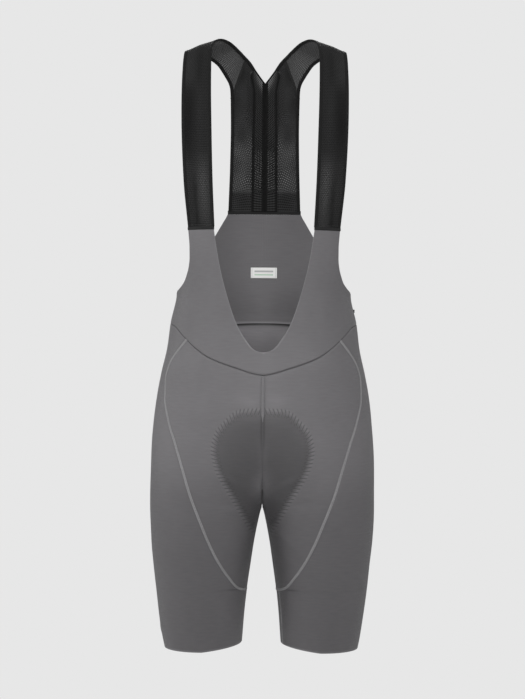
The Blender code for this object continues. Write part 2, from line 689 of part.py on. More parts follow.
def label():
    x = np.linspace(0, LABEL_WIDE / 2, 3)
    z = LABEL_MIDDLE + np.array((-0.5, 0.0, 0.5)) * LABEL_TALL
    heights, widths = np.meshgrid(z, x, indexing="ij")
    places = np.stack([u_at(widths, heights, behind=True), heights], axis=-1)
    points, inward = form_sheet(places, "", inset=2 * KNIT + LOOSE_GAP + 2 * SEAM_GAP)
    points[:, 0, 0] = 0.0
    inward[:, 0, 0] = 0.0
    cloth("label", "label_white", LABEL_WHITE, [(points, inward, False), (points, inward, True)], MESH)


def side_tab():
    """A tiny folded loop caught in the left side seam."""
    z = TAB_MIDDLE + np.array((-0.5, 0.5)) * TAB_TALL
    x = form_column("outer", z) + TAB_CLEAR
    y = -TAB_THICK / 2
    points = np.array([[(near, y, height), (near + TAB_OUT, y, height)] for near, height in zip(x, z)])
    inward = np.zeros_like(points)
    inward[..., 1] = 1.0
    cloth("side_tab", "black_trim", BLACK_TRIM, [(points, inward, False)], TAB_THICK)


def clear_scene():
    for item in list(bpy.data.objects):
        bpy.data.objects.remove(item, do_unlink=True)


def build():
    clear_scene()
    bib_front()
    back_upper()
    back_lower()
    front_legs()
    side_legs()
    chamois()
    straps()
    strap_ends()
    racer_back()
    racer_band()
    label()
    side_tab()


build()
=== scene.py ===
"""The finished look of the cycling bib shorts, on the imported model's frame.

Metres, +Z up. The wearer faces -Y, and the wearer's left is +X. A place on the garment's form is (u, z): z is
the height, and u runs round one half of the garment, from 0 at the centre front by 0.5 at the side to 1 at the
centre back. Below the crotch, u runs once round a leg, from the inner leg by the front, the outside and back.
"""

import math

import bmesh
import bpy
import numpy as np
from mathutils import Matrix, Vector
from mathutils.kdtree import KDTree


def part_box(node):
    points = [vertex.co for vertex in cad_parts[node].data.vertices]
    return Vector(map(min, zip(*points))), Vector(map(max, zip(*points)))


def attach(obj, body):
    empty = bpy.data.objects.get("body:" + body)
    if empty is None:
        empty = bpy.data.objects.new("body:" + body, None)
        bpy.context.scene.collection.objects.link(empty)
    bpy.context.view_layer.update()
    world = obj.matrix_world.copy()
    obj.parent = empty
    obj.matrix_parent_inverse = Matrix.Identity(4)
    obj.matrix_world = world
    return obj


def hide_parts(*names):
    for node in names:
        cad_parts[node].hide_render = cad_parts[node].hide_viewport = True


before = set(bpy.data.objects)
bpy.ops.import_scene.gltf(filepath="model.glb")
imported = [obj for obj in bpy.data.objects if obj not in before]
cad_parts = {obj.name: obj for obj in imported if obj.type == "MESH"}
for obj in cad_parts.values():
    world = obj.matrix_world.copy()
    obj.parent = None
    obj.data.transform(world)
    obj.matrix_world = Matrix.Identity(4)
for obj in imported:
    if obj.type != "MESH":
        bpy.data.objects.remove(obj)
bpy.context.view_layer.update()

LEFT, RIGHT = 1.0, -1.0
SIDES = (("left", LEFT), ("right", RIGHT))

# Cloth
KNIT = 0.0012  # wall of the warp knit
MESH = 0.0010  # wall of the strap mesh
TRIM = 0.0014  # wall of the bands and the centre tape
SEAM_GAP = 0.0003
STRAP_SEAM_GAP = 0.0012
LOOSE_GAP = 0.0014  # between the two back panels where they lap
SEAM_SINK = 0.0008  # how far the cloth rolls in at a seam
SEAM_ROLL = 0.3  # the share of the outermost cell that rolls in
SEAM_SHADE = 0.45  # how light the cloth is in the seam's groove, where shade is painted
PAD_MIDDLE = 0.0042
PAD_RIM = 0.0015
PAD_CLEAR = 0.0016
PAD_CROTCH_RISE = 0.0060
PAD_STITCH_STEP = 0.0062  # from one stitch to the next round the insert

# Heights
STRAP_FOOT = -0.2930
STRAP_END_TALL = 0.0036
BAND_TOP = -0.2495
BAND_TALL = 0.0052
UNDERARM = -0.3850
NECK_POINT = -0.4765
WAIST_SIDE = -0.4310
WAIST_MIDDLE = -0.5110
BACK_OVERLAP_EDGE = -0.4295  # at the centre back
BACK_OVERLAP_DROP = 0.0150  # how much lower it is at the side
BACK_LOWER_TOP_SIDE = -0.4020
BACK_LOWER_TOP_MIDDLE = -0.4210
RISE_START = -0.5600
CROTCH = -0.7115
CROTCH_FOLD = 0.4  # how far across a thigh the fold at the crotch reaches, as a share of its width
FLATLOCK_END = -0.8420
SEAM_BAND_END = -0.5800  # where the flat band on the centre front seam runs out
INSEAM_TURN = 0.055  # how far round the left leg its inseam lies, because that leg is turned a little
FOLD_TOP = -0.6000  # the centre front seam lies on a soft fold from here down; painted shade darkens the knit below
SEAM_TONE_TOP = -0.5900  # painted light brightens the cloth along that seam from here down
PAD_SHADE_TOP = -0.5600  # painted shade darkens the knit over the insert further from here down
ABOVE_PAD = -0.5490  # the middle of the painted highlight above the insert
THIGHS_MEET = -0.6400  # the thighs shade each other from here down
THIGH_SHADE_FOOT = -0.9000
# the middle of a band of painted shade on the knit
SMALL_OF_BACK = -0.4000
HEM = -0.9320
HEM_INNER_RISE = 0.0080

# Widths
STRAP_FOOT_INNER = 0.0754
STRAP_FOOT_OUTER = 0.1140
BAND_HALF = 0.0576
TAPE_HALF = 0.0047
STRIP_TOP_WIDE = 0.0200
STRIP_FOOT_WIDE = 0.0160
RACER_DOUBLING = -0.2230  # below this height the racer back is two layers
LADDER_TOP = -0.1300  # the lining's holes are widest open between these heights
LADDER_FOOT = -0.2250
BINDING_WIDE = 0.0044
BAND_INSET = 0.0002  # how far the panel below the racer band lies inside the form there
LABEL_WIDE = 0.0420
LABEL_TALL = 0.0170
LABEL_MIDDLE = -0.3497
TAB_MIDDLE = -0.4117
TAB_TALL = 0.0050
TAB_OUT = 0.0032
TAB_THICK = 0.0016

# The form, a row for each height: the inner leg, the outer side, the depths of the trunk to the front and the
# back, the squareness of its section (2 is an ellipse), and the depths of one thigh to the front and the back.
FORM_COLUMNS = ("z", "inner", "outer", "front", "back", "square", "thigh_front", "thigh_back")
FORM = np.array(
    (
        (-0.2450, 0.0000, 0.1460, 0.1100, 0.1090, 3.0, 0.097, 0.112),
        (-0.2900, 0.0000, 0.1380, 0.1080, 0.1060, 3.0, 0.097, 0.112),
        (-0.3400, 0.0000, 0.1360, 0.1060, 0.0990, 2.9, 0.097, 0.112),
        (-0.3860, 0.0000, 0.1345, 0.1035, 0.0950, 2.8, 0.097, 0.112),
        (-0.4320, 0.0000, 0.1436, 0.1040, 0.0970, 2.6, 0.097, 0.112),
        (-0.4700, 0.0000, 0.1486, 0.1060, 0.1030, 2.5, 0.097, 0.112),
        (-0.5070, 0.0000, 0.1570, 0.1080, 0.1110, 2.4, 0.097, 0.112),
        (-0.5440, 0.0000, 0.1638, 0.1080, 0.1180, 2.3, 0.097, 0.112),
        (-0.5810, 0.0000, 0.1684, 0.1070, 0.1220, 2.3, 0.097, 0.112),
        (-0.6200, 0.0000, 0.1714, 0.1050, 0.1240, 2.3, 0.097, 0.112),
        (-0.6560, 0.0000, 0.1726, 0.1020, 0.1220, 2.3, 0.096, 0.110),
        (-0.7115, 0.0002, 0.1733, 0.0980, 0.1160, 2.2, 0.093, 0.105),
        (-0.7250, 0.0036, 0.1731, 0.0980, 0.1160, 2.2, 0.092, 0.1032),
        (-0.7670, 0.0120, 0.1710, 0.0980, 0.1160, 2.2, 0.087, 0.0960),
        (-0.8045, 0.0176, 0.1672, 0.0980, 0.1160, 2.1, 0.081, 0.0880),
        (-0.8420, 0.0229, 0.1631, 0.0980, 0.1160, 2.1, 0.075, 0.0800),
        (-0.8790, 0.0268, 0.1585, 0.0980, 0.1160, 2.1, 0.070, 0.0730),
        (-0.9160, 0.0296, 0.1527, 0.0980, 0.1160, 2.1, 0.065, 0.0670),
        (-0.9450, 0.0320, 0.1465, 0.0980, 0.1160, 2.1, 0.062, 0.0630),
    )
)

# Cut lines as seen from the front, a row for each bend: x and z.
NECK_LINE = (
    (0.0000, NECK_POINT),
    (0.0070, -0.4753),
    (0.0143, -0.4722),
    (0.0260, -0.4579),
    (0.0390, -0.4370),
    (0.0548, -0.3924),
    (0.0670, -0.3448),
    (0.0741, -0.3016),
    (STRAP_FOOT_INNER, STRAP_FOOT),
)
ARMHOLE_LINE = (
    (0.1345, UNDERARM),
    (0.1300, -0.3818),
    (0.1263, -0.3782),
    (0.1203, -0.3700),
    (0.1170, -0.3613),
    (0.1138, -0.3500),
    (0.1120, -0.3346),
    (0.1120, -0.3200),
    (STRAP_FOOT_OUTER, STRAP_FOOT),
)
WAIST_LINE = (
    (0.0000, WAIST_MIDDLE),
    (0.0149, -0.5084),
    (0.0357, -0.5018),
    (0.0625, -0.4929),
    (0.0849, -0.4830),
    (0.1030, -0.4698),
    (0.1207, -0.4531),
    (0.1350, -0.4375),
    (0.1434, WAIST_SIDE),
)
FLATLOCK_LINE = (
    (0.1159, -0.4580),
    (0.1297, -0.4753),
    (0.1420, -0.4952),
    (0.1482, -0.5189),
    (0.1489, -0.5466),
    (0.1424, -0.5812),
    (0.1315, -0.6153),
    (0.1200, -0.6530),
    (0.1076, -0.6937),
    (0.0929, -0.7316),
    (0.0777, -0.7686),
    (0.0641, -0.7955),
    (0.0515, -0.8153),
    (0.0353, -0.8360),
    (0.0229, FLATLOCK_END),
)
BACK_ARMHOLE_LINE = (
    (0.1345, UNDERARM),
    (0.1170, -0.3540),
    (0.0955, -0.3180),
    (0.0765, -0.2860),
    (0.0652, -0.2665),
    (0.0590, -0.2562),
)
# The rim of the insert, from its front end round the inner leg.
PAD_FRONT_RIM = (
    (0.0000, -0.5594),
    (0.0340, -0.5615),
    (0.0566, -0.5778),
    (0.0738, -0.6020),
    (0.0776, -0.6245),
    (0.0725, -0.6506),
    (0.0567, -0.6816),
    (0.0416, -0.7071),
    (0.0244, -0.7384),
    (0.0110, -0.7600),
)
PAD_BACK_RIM = (
    (0.0000, -0.5850),
    (0.0420, -0.5880),
    (0.0720, -0.6040),
    (0.0900, -0.6300),
    (0.0930, -0.6550),
    (0.0830, -0.6850),
    (0.0610, -0.7120),
    (0.0400, -0.7330),
    (0.0230, -0.7500),
    (0.0110, -0.7600),
)

# One shoulder strap from the bib over the shoulder to its seam with the racer back, a row for each stage:
# x, y and z of its inner edge, and of its outer edge.
STRAP = (
    (0.0785, -0.1060, -0.2200, 0.1205, -0.0940, -0.2200),
    (0.0815, -0.0890, -0.1280, 0.1250, -0.0800, -0.1280),
    (0.0832, -0.0620, -0.0695, 0.1260, -0.0550, -0.0700),
    (0.0838, -0.0350, -0.0290, 0.1257, -0.0360, -0.0400),
    (0.0826, -0.0180, -0.0085, 0.1250, -0.0240, -0.0230),
    (0.0785, -0.0020, 0.0050, 0.1240, -0.0120, -0.0130),
    (0.0725, 0.0080, 0.0100, 0.1215, 0.0000, -0.0108),
    (0.0665, 0.0160, 0.0114, 0.1150, 0.0130, -0.0110),
    (0.0570, 0.0310, 0.0100, 0.1010, 0.0320, -0.0120),
    (0.0480, 0.0450, 0.0050, 0.0870, 0.0440, -0.0160),
    (0.0415, 0.0515, -0.0005, 0.0748, 0.0520, -0.0240),
    (0.0380, 0.0545, -0.0035, 0.0681, 0.0570, -0.0328),
    (0.0357, 0.0563, -0.0058, 0.0623, 0.0620, -0.0415),
    (0.0338, 0.0577, -0.0076, 0.0572, 0.0670, -0.0503),
    (0.0320, 0.0589, -0.0093, 0.0549, 0.0715, -0.0590),
    (0.0304, 0.0600, -0.0107, 0.0540, 0.0760, -0.0728),
)
RACER_NECK = (
    (0.0304, 0.0600, -0.0107),
    (0.0250, 0.0630, -0.0160),
    (0.0138, 0.0690, -0.0320),
    (0.0000, 0.0750, -0.0498),
)
RACER_SIDE = (
    (0.0540, 0.0760, -0.0728),
    (0.0535, 0.0840, -0.1150),
    (0.0545, 0.0960, -0.1750),
    (0.0570, 0.1075, BAND_TOP),
)
RACER_MIDDLE = (
    (0.0000, 0.0750, -0.0498),
    (0.0000, 0.0880, -0.1150),
    (0.0000, 0.0995, -0.1750),
    (0.0000, 0.1085, BAND_TOP),
)

# Creases in the knit, a row each: the side, u and z at its two ends, its half width, and how far it rises.
CREASES = (
    ("both", 0.070, -0.690, 0.200, -0.660, 0.0060, 0.0010),
    ("both", 0.090, -0.716, 0.240, -0.700, 0.0060, -0.0009),
    ("left", 0.060, -0.735, 0.170, -0.775, 0.0055, 0.0011),
    ("right", 0.050, -0.742, 0.150, -0.768, 0.0060, 0.0010),
    ("left", 0.040, -0.790, 0.140, -0.812, 0.0065, -0.0009),
    ("right", 0.060, -0.800, 0.160, -0.826, 0.0060, 0.0008),
    ("left", 0.360, -0.905, 0.460, -0.921, 0.0050, 0.0007),
    ("right", 0.420, -0.893, 0.540, -0.912, 0.0055, 0.0007),
    ("both", 0.468, -0.392, 0.400, -0.424, 0.0050, -0.0009),
    ("both", 0.530, -0.395, 0.610, -0.428, 0.0055, -0.0009),
    ("both", 0.650, -0.728, 0.900, -0.716, 0.0090, -0.0022),
    ("left", 0.740, -0.748, 0.930, -0.742, 0.0060, 0.0014),
    ("right", 0.700, -0.744, 0.900, -0.746, 0.0065, 0.0013),
    ("both", 0.860, -0.660, 0.975, -0.690, 0.0070, 0.0012),
    ("left", 0.700, -0.862, 0.880, -0.874, 0.0070, 0.0013),
    ("right", 0.660, -0.880, 0.860, -0.868, 0.0070, 0.0012),
    ("left", 0.620, -0.903, 0.800, -0.910, 0.0060, -0.0010),
    ("right", 0.700, -0.905, 0.900, -0.900, 0.0060, -0.0010),
    ("both", 0.720, -0.470, 0.940, -0.482, 0.0080, 0.0011),
    ("left", 0.640, -0.500, 0.860, -0.506, 0.0080, -0.0010),
    ("right", 0.680, -0.498, 0.900, -0.510, 0.0080, -0.0010),
    ("left", 0.240, -0.370, 0.330, -0.400, 0.0070, 0.0007),
    ("right", 0.230, -0.360, 0.320, -0.404, 0.0070, 0.0007),
)
HALF_GIRTH = 0.47  # metres round one half of the hips, which makes u a distance

# Lengthwise folds in the mesh straps, a row each: the side, the share of the width, the start and the end
# along the strap, the half width and the rise.
STRAP_FOLDS = (
    ("left", 0.52, 0.00, 0.17, 0.10, -0.0022),
    ("left", 0.76, 0.02, 0.40, 0.13, 0.0012),
    ("left", 0.30, 0.20, 0.55, 0.14, -0.0012),
    ("right", 0.60, 0.00, 0.15, 0.10, -0.0024),
    ("right", 0.30, 0.04, 0.36, 0.14, 0.0013),
    ("right", 0.68, 0.22, 0.52, 0.12, -0.0012),
    ("left", 0.60, 0.56, 0.74, 0.16, 0.0012),
    ("right", 0.44, 0.55, 0.76, 0.16, 0.0012),
)
# Painted light and shade of the folds on a strap's front, a row each: the share across it from its inner edge,
# the width, the start and the stop up it, and the change.
STRAP_TONES = (
    (0.30, 0.24, 0.00, 0.40, 0.20),
    (0.85, 0.22, 0.02, 0.34, 0.06),
    (0.61, 0.05, -0.10, 0.30, -0.24),
    (0.78, 0.26, 0.34, 0.78, -0.17),
    (0.38, 0.14, 0.40, 0.80, 0.06),
    (0.80, 0.26, 0.72, 0.97, 0.16),
    (0.40, 0.10, 0.74, 0.98, -0.08),
)
# The outline of a lining strip: the share of the way down it, and its width as a share of its width there.
STRIP_SHAPE = ((0.00, 1.00), (0.075, 1.00), (0.15, 0.76), (0.45, 0.90), (1.00, 1.04))
STRIP_CORNER = (0.70, 0.072)  # its top slants from this share of its width, down to this share of its length

# Cells along each seam. Two pieces that meet share these points.
TAPE_COLUMNS = 4  # of the racer back's columns, from its middle
NECK_COLUMNS = 17  # those that end at the neck; the others end at the strap seam
STRIP_COLUMNS = 8  # the next ones, where the lining strip is at its full width
FRONT_COLUMNS = 34
HIP_COLUMNS = 14
BACK_COLUMNS = 46
RISE_ROWS = 44
INSEAM_ROWS = 26
LOWER_ROWS = 24
BIB_ROWS = 56
BACK_ROWS = 40
BACK_LOWER_ROWS = 60
PAD_ROWS = 44  # from an end of the insert to its fold at the crotch
PAD_COLUMNS = 24  # from its middle to its rim
RIM_CELLS = 90
TRIM_STEP = 0.004  # from point to point along a seam's trim


# ---------------------------------------------------------------- curves


def smooth_through(ts, values, t):
    """Values at t on a smooth curve through a table's rows, which never overshoots them."""
    ts, values, t = np.asarray(ts, float), np.asarray(values, float), np.asarray(t, float)
    steps = np.diff(ts)
    rises = np.diff(values) / steps
    slopes = np.empty_like(values)
    slopes[0], slopes[-1] = rises[0], rises[-1]
    same_way = rises[:-1] * rises[1:] > 0
    sums = np.where(same_way, rises[:-1] + rises[1:], 1)
    slopes[1:-1] = np.where(same_way, 2 * rises[:-1] * rises[1:] / sums, 0)
    k = np.clip(np.searchsorted(ts, t) - 1, 0, len(ts) - 2)
    h = steps[k]
    s = np.clip((t - ts[k]) / h, 0, 1)
    return (
        values[k] * (1 + 2 * s) * (1 - s) ** 2
        + slopes[k] * h * s * (1 - s) ** 2
        + values[k + 1] * s**2 * (3 - 2 * s)
        - slopes[k + 1] * h * s**2 * (1 - s)
    )


def lengths_along(points):
    steps = np.linalg.norm(np.diff(np.asarray(points, float), axis=0), axis=1)
    return np.concatenate(([0.0], np.cumsum(steps)))


def even_points(rows, cells):
    """Points at even distances on the smooth curve through some rows."""
    rows = np.asarray(rows, float)
    lengths = lengths_along(rows)
    at = np.linspace(0, lengths[-1], cells + 1)
    return np.stack([smooth_through(lengths, rows[:, c], at) for c in range(rows.shape[1])], axis=-1)


def spread(rows, travelled, at):
    """Rows at some distances along a run, straight between the rows at the distances travelled."""
    return np.stack([np.interp(at, travelled, rows[:, c]) for c in range(rows.shape[1])], axis=-1)


def joined(*runs):
    """Some runs of points as one, with the point that two runs share kept once."""
    return np.concatenate([runs[0]] + [run[1:] for run in runs[1:]])


def patch(bottom, top, left, right, columns_at=None):
    """A grid of points spread between four edges: rows go from bottom to top, columns from left to right."""
    bottom, top, left, right = (np.asarray(edge, float) for edge in (bottom, top, left, right))
    s = (np.linspace(0, 1, len(bottom)) if columns_at is None else columns_at)[None, :, None]
    t = np.linspace(0, 1, len(left))[:, None, None]
    ruled = (1 - t) * bottom[None] + t * top[None] + (1 - s) * left[:, None] + s * right[:, None]
    corners = (1 - t) * ((1 - s) * bottom[0] + s * bottom[-1]) + t * ((1 - s) * top[0] + s * top[-1])
    return ruled - corners


def soft_step(t):
    t = np.clip(t, 0, 1)
    return t**2 * (3 - 2 * t)


def unit(vectors):
    return vectors / np.maximum(np.linalg.norm(vectors, axis=-1, keepdims=True), 1e-12)


# ---------------------------------------------------------------- the form


def form_column(name, z):
    return smooth_through(-FORM[:, 0], FORM[:, FORM_COLUMNS.index(name)], -z)


def form_point(u, z):
    """The point of the bare form at (u, z), on the wearer's left half."""
    u, z = np.broadcast_arrays(np.asarray(u, float), np.asarray(z, float))
    leg = z < CROTCH
    turned = np.where(leg, u % 1.0, np.where(u < 0, -u, np.where(u > 1, 2 - u, u)))
    mirrored = np.where(~leg & ((u < 0) | (u > 1)), -1.0, 1.0)
    inner, outer = form_column("inner", z), form_column("outer", z)
    square = form_column("square", z)
    in_front = turned < 0.5
    angle = np.pi * turned
    down = np.clip((RISE_START - z) / (RISE_START - CROTCH), 0, 1)
    even, flat = np.sin(angle) ** 2, np.abs(np.sin(angle)) ** (2 / square)
    width = soft_step(down) * even + (1 - soft_step(down)) * flat
    trunk_depth = np.where(in_front, form_column("front", z), form_column("back", z))
    trunk = trunk_depth * (1 - width**square) ** (1 / square)
    thigh_depth = np.where(in_front, form_column("thigh_front", z), form_column("thigh_back", z))
    thigh = thigh_depth * (1 - np.abs(2 * width - 1) ** square) ** (1 / square)
    share = (1 - down**2) ** (1 + soft_step(width / CROTCH_FOLD))
    y = np.sqrt(share * trunk**2 + (1 - share) * thigh**2) * np.where(in_front, -1, 1)
    return np.stack([(inner + (outer - inner) * width) * mirrored, y, z], axis=-1)


def form_inward(u, z):
    """The unit direction from the form into the hollow."""
    du, dz = 0.002, 0.0006
    round_it = form_point(u + du, z) - form_point(u - du, z)
    down_it = form_point(u, z - dz) - form_point(u, z + dz)
    inward = unit(np.cross(round_it, down_it))
    fold = np.isclose(z, CROTCH) & (np.isclose(u, 0) | np.isclose(u, 1))
    inward[fold] = np.array((1.0, 0.0, 1.0)) / math.sqrt(2)
    return inward


def u_at(x, z, behind=False):
    """The u of the form's point with this x at this height, in front or behind."""
    x, z = np.broadcast_arrays(np.asarray(x, float), np.asarray(z, float))
    low, high = np.zeros(x.shape), np.full(x.shape, 0.5)
    for _ in range(40):
        middle = (low + high) / 2
        short = form_point(1 - middle if behind else middle, z)[..., 0] < x
        low, high = np.where(short, middle, low), np.where(short, high, middle)
    return 1 - low if behind else low


def on_form(rows, behind=False):
    """Cut-line points (x, z) as places (u, z)."""
    rows = np.asarray(rows, float)
    return np.stack([u_at(rows[:, 0], rows[:, 1], behind), rows[:, 1]], axis=-1)


# ---------------------------------------------------------------- relief on the form


def rim_curve(rim):
    return even_points(rim, RIM_CELLS)


def rim_reach(places):
    """How far each place lies inside the insert's rim, below 0 outside it, and its place along the rim."""
    u, z = places[..., 0], places[..., 1]
    x = np.abs(form_point(u, z)[..., 0])
    reach, along = np.empty(x.shape), np.empty(x.shape)
    for rim, behind in ((PAD_FRONT_RIM, False), (PAD_BACK_RIM, True)):
        curve = rim_curve(rim)
        start, step = curve[:-1], np.diff(curve, axis=0)
        offset = np.stack([x, z], axis=-1)[..., None, :] - start
        share = np.clip((offset * step).sum(-1) / (step**2).sum(-1), 0, 1)
        away = np.linalg.norm(offset - share[..., None] * step, axis=-1)
        nearest = np.argmin(away, axis=-1)
        distance = np.take_along_axis(away, nearest[..., None], -1)[..., 0]
        travelled = lengths_along(curve)
        share_there = np.take_along_axis(share, nearest[..., None], -1)[..., 0]
        at = travelled[nearest] + share_there * (travelled[1] - travelled[0])
        width = np.interp(-z, -curve[:, 1], curve[:, 0], left=-1, right=-1)
        here = (u > 0.5) == behind
        reach = np.where(here, np.where(x < width, distance, -distance), reach)
        along = np.where(here, at, along)
    return reach, along


def relief(places, side):
    """How far the knit stands out from the bare form: over the insert, in creases, and in the front fold."""
    u, z = places[..., 0], places[..., 1]
    reach, _ = rim_reach(places)
    out = 0.0011 * soft_step((reach - 0.006) / 0.014) - 0.0004 * np.exp(-(((reach - 0.006) / 0.005) ** 2))
    for which, u0, z0, u1, z1, wide, rise in CREASES:
        if which == "both" or (which == "left") == (side > 0):
            along = np.array(((u1 - u0) * HALF_GIRTH, z1 - z0))
            offset = np.stack([(u - u0) * HALF_GIRTH, z - z0], axis=-1)
            share = np.clip((offset @ along) / (along @ along), 0, 1)
            bend = 0.004 * np.sin(3.0 * share + 40 * u0)
            away = np.linalg.norm(offset - share[..., None] * along, axis=-1) + bend * share * (1 - share)
            ends = np.sin(np.pi * np.clip(share, 0.06, 0.94)) ** 0.6
            out = out + rise * np.exp(-((away / wide) ** 2)) * ends
    x, y = np.moveaxis(form_point(u, z)[..., :2], -1, 0)
    slow = np.sin(31 * x * side + 17 * z + 0.6) * np.sin(23 * y - 41 * z)
    slow = slow + 0.6 * np.sin(67 * z + 29 * y + side)
    fold = soft_step((FOLD_TOP - z) / 0.050) * soft_step((z - CROTCH - 0.002) / 0.030) * (u < 0.5)
    out = out + 0.0042 * fold * np.exp(-((x / 0.011) ** 2))
    from_middle = soft_step(np.minimum(u, 1 - u) / 0.06)
    from_inseam = np.where(z < CROTCH + 0.03, soft_step(np.minimum(u, 1 - u) / 0.05), 1.0)
    return (out + 0.00022 * slow * from_middle) * from_inseam


def cloth_point(places, side, lift=0.0):
    """Points on the knit's outer face, lifted off it by some distance. The right half mirrors the left."""
    places = np.asarray(places, float)
    u, z = places[..., 0], places[..., 1]
    points = form_point(u, z) - (relief(places, side) + lift)[..., None] * form_inward(u, z)
    points[..., 0] = np.maximum(points[..., 0], 0.0) * side
    return points


def cloth_inward(places, side):
    inward = form_inward(places[..., 0], places[..., 1])
    return inward * np.array((side, 1.0, 1.0))


# ---------------------------------------------------------------- seams, as places (u, z)


def rise_heights(top, rows):
    """Heights down the centre seam from top to the crotch, at even steps along the seam's curve."""
    turning = np.sin(np.linspace(0, np.pi / 2, 90))
    fine = joined(np.linspace(top, RISE_START, 40), RISE_START - (RISE_START - CROTCH) * turning)
    depth = form_point(0.0, fine)[:, 1]
    length = np.concatenate(([0], np.cumsum(np.hypot(np.diff(fine), np.diff(depth)))))
    return np.interp(np.linspace(0, length[-1], rows + 1), length, fine)


def straight_down(u, heights):
    return np.stack([np.full(len(heights), float(u)), heights], axis=-1)


def hem_height(u):
    return HEM + HEM_INNER_RISE * np.maximum(0, np.cos(2 * np.pi * u))


FLATLOCK_ROWS = RISE_ROWS + INSEAM_ROWS + FRONT_COLUMNS
CENTRE_BACK_ROWS = FLATLOCK_ROWS - INSEAM_ROWS

flatlock = on_form(even_points(FLATLOCK_LINE, FLATLOCK_ROWS))
flatlock[-1] = (0.0, FLATLOCK_END)
waist_front = on_form(WAIST_LINE)
waist_front[-1] = (0.5, WAIST_SIDE)


def waist_height(u):
    return smooth_through(waist_front[:, 0], waist_front[:, 1], np.minimum(u, 1 - u))


flatlock[0, 1] = waist_height(flatlock[0, 0])
waist_front_u = np.linspace(0, flatlock[0, 0], FRONT_COLUMNS + 1)
waist_hip_u = np.linspace(flatlock[0, 0], 0.5, HIP_COLUMNS + 1)
waist_back_u = np.linspace(0.5, 1.0, BACK_COLUMNS + 1)


def overlap_height(u):
    """The height of the loose edge of the panel at the small of the back."""
    return BACK_OVERLAP_EDGE - BACK_OVERLAP_DROP * soft_step((1 - u) / 0.38)


def waist_places(us):
    return np.stack([us, waist_height(us)], axis=-1)


inseam = np.linspace(CROTCH, FLATLOCK_END, INSEAM_ROWS + 1)
lower_inseam = np.linspace(FLATLOCK_END, float(hem_height(0.0)), LOWER_ROWS + 1)


# ---------------------------------------------------------------- materials


def shader_node(tree, kind, settings=None, inputs=None):
    """Adds a node. An input is a number, a colour, or another node's output to join to it."""
    made = tree.nodes.new(kind)
    for key, value in (settings or {}).items():
        setattr(made, key, value)
    for key, value in (inputs or {}).items():
        if isinstance(value, bpy.types.NodeSocket):
            tree.links.new(value, made.inputs[key])
        else:
            made.inputs[key].default_value = value
    return made


def maths(tree, operation, *values, clamp=False):
    settings = {"operation": operation, "use_clamp": clamp}
    return shader_node(tree, "ShaderNodeMath", settings, dict(enumerate(values))).outputs[0]


def axes(tree, vector):
    """A vector's X, Y and Z."""
    return shader_node(tree, "ShaderNodeSeparateXYZ", inputs={0: vector}).outputs


def noise(tree, vector, scale, detail):
    inputs = {"Vector": vector, "Scale": scale, "Detail": detail}
    return shader_node(tree, "ShaderNodeTexNoise", {}, inputs).outputs[0]


def ramp(tree, value, low, high, start=0.0, end=1.0, curve="SMOOTHSTEP"):
    """Turns a value that runs from low to high into one that runs from start to end."""
    inputs = {"Value": value, "From Min": low, "From Max": high, "To Min": start, "To Max": end}
    return shader_node(tree, "ShaderNodeMapRange", {"interpolation_type": curve}, inputs).outputs[0]


def between(tree, value, low, high, soft):
    """1 where a value lies between two others, with soft edges."""
    up = ramp(tree, value, low - soft, low + soft)
    down = ramp(tree, value, high - soft, high + soft, 1.0, 0.0)
    return maths(tree, "MULTIPLY", up, down)


def mixed(tree, share, one, two):
    return shader_node(tree, "ShaderNodeMix", {"data_type": "RGBA"}, {0: share, 6: one, 7: two}).outputs[2]


def new_group(name, inputs, outputs):
    """A shader node group: inputs are (name, type, value), and outputs (name, type)."""
    tree = bpy.data.node_groups.new(name, "ShaderNodeTree")
    for label, kind, value in inputs:
        socket = tree.interface.new_socket(label, in_out="INPUT", socket_type=kind)
        if value is not None:
            socket.default_value = value
    for label, kind in outputs:
        tree.interface.new_socket(label, in_out="OUTPUT", socket_type=kind)
    return tree, tree.nodes.new("NodeGroupInput").outputs, tree.nodes.new("NodeGroupOutput").inputs


FLOAT, VECTOR = "NodeSocketFloat", "NodeSocketVector"


def knit_group():
    """Fine wales and courses of warp knit, with slight slubs across."""
    tree, given, out = new_group(
        "knit_loops",
        (("Vector", VECTOR, None), ("Wale", FLOAT, 0.0007), ("Course", FLOAT, 0.0009)),
        (("Height", FLOAT), ("Shade", FLOAT)),
    )
    xyz = axes(tree, given["Vector"])
    across = maths(tree, "DIVIDE", xyz[0], given["Wale"])
    down = maths(tree, "DIVIDE", xyz[1], given["Course"])
    wales = maths(tree, "ABSOLUTE", maths(tree, "SINE", maths(tree, "MULTIPLY", across, math.pi)))
    stagger = maths(tree, "MULTIPLY", maths(tree, "FLOOR", across), 0.5)
    loops = maths(tree, "SINE", maths(tree, "MULTIPLY", maths(tree, "ADD", down, stagger), 2 * math.pi))
    raised = maths(tree, "MULTIPLY_ADD", loops, 0.25, 0.75)
    tree.links.new(maths(tree, "MULTIPLY", wales, raised), out["Height"])
    across_and_down = {"Vector": given["Vector"], "Scale": (55.0, 420.0, 1.0)}
    stretched = shader_node(tree, "ShaderNodeMapping", {}, across_and_down).outputs[0]
    slubs = noise(tree, stretched, 1.0, 3.0)
    cloudy = noise(tree, given["Vector"], 22.0, 2.0)
    shade = maths(tree, "MULTIPLY_ADD", slubs, 0.7, maths(tree, "MULTIPLY", cloudy, 0.3))
    tree.links.new(shade, out["Shade"])
    return tree


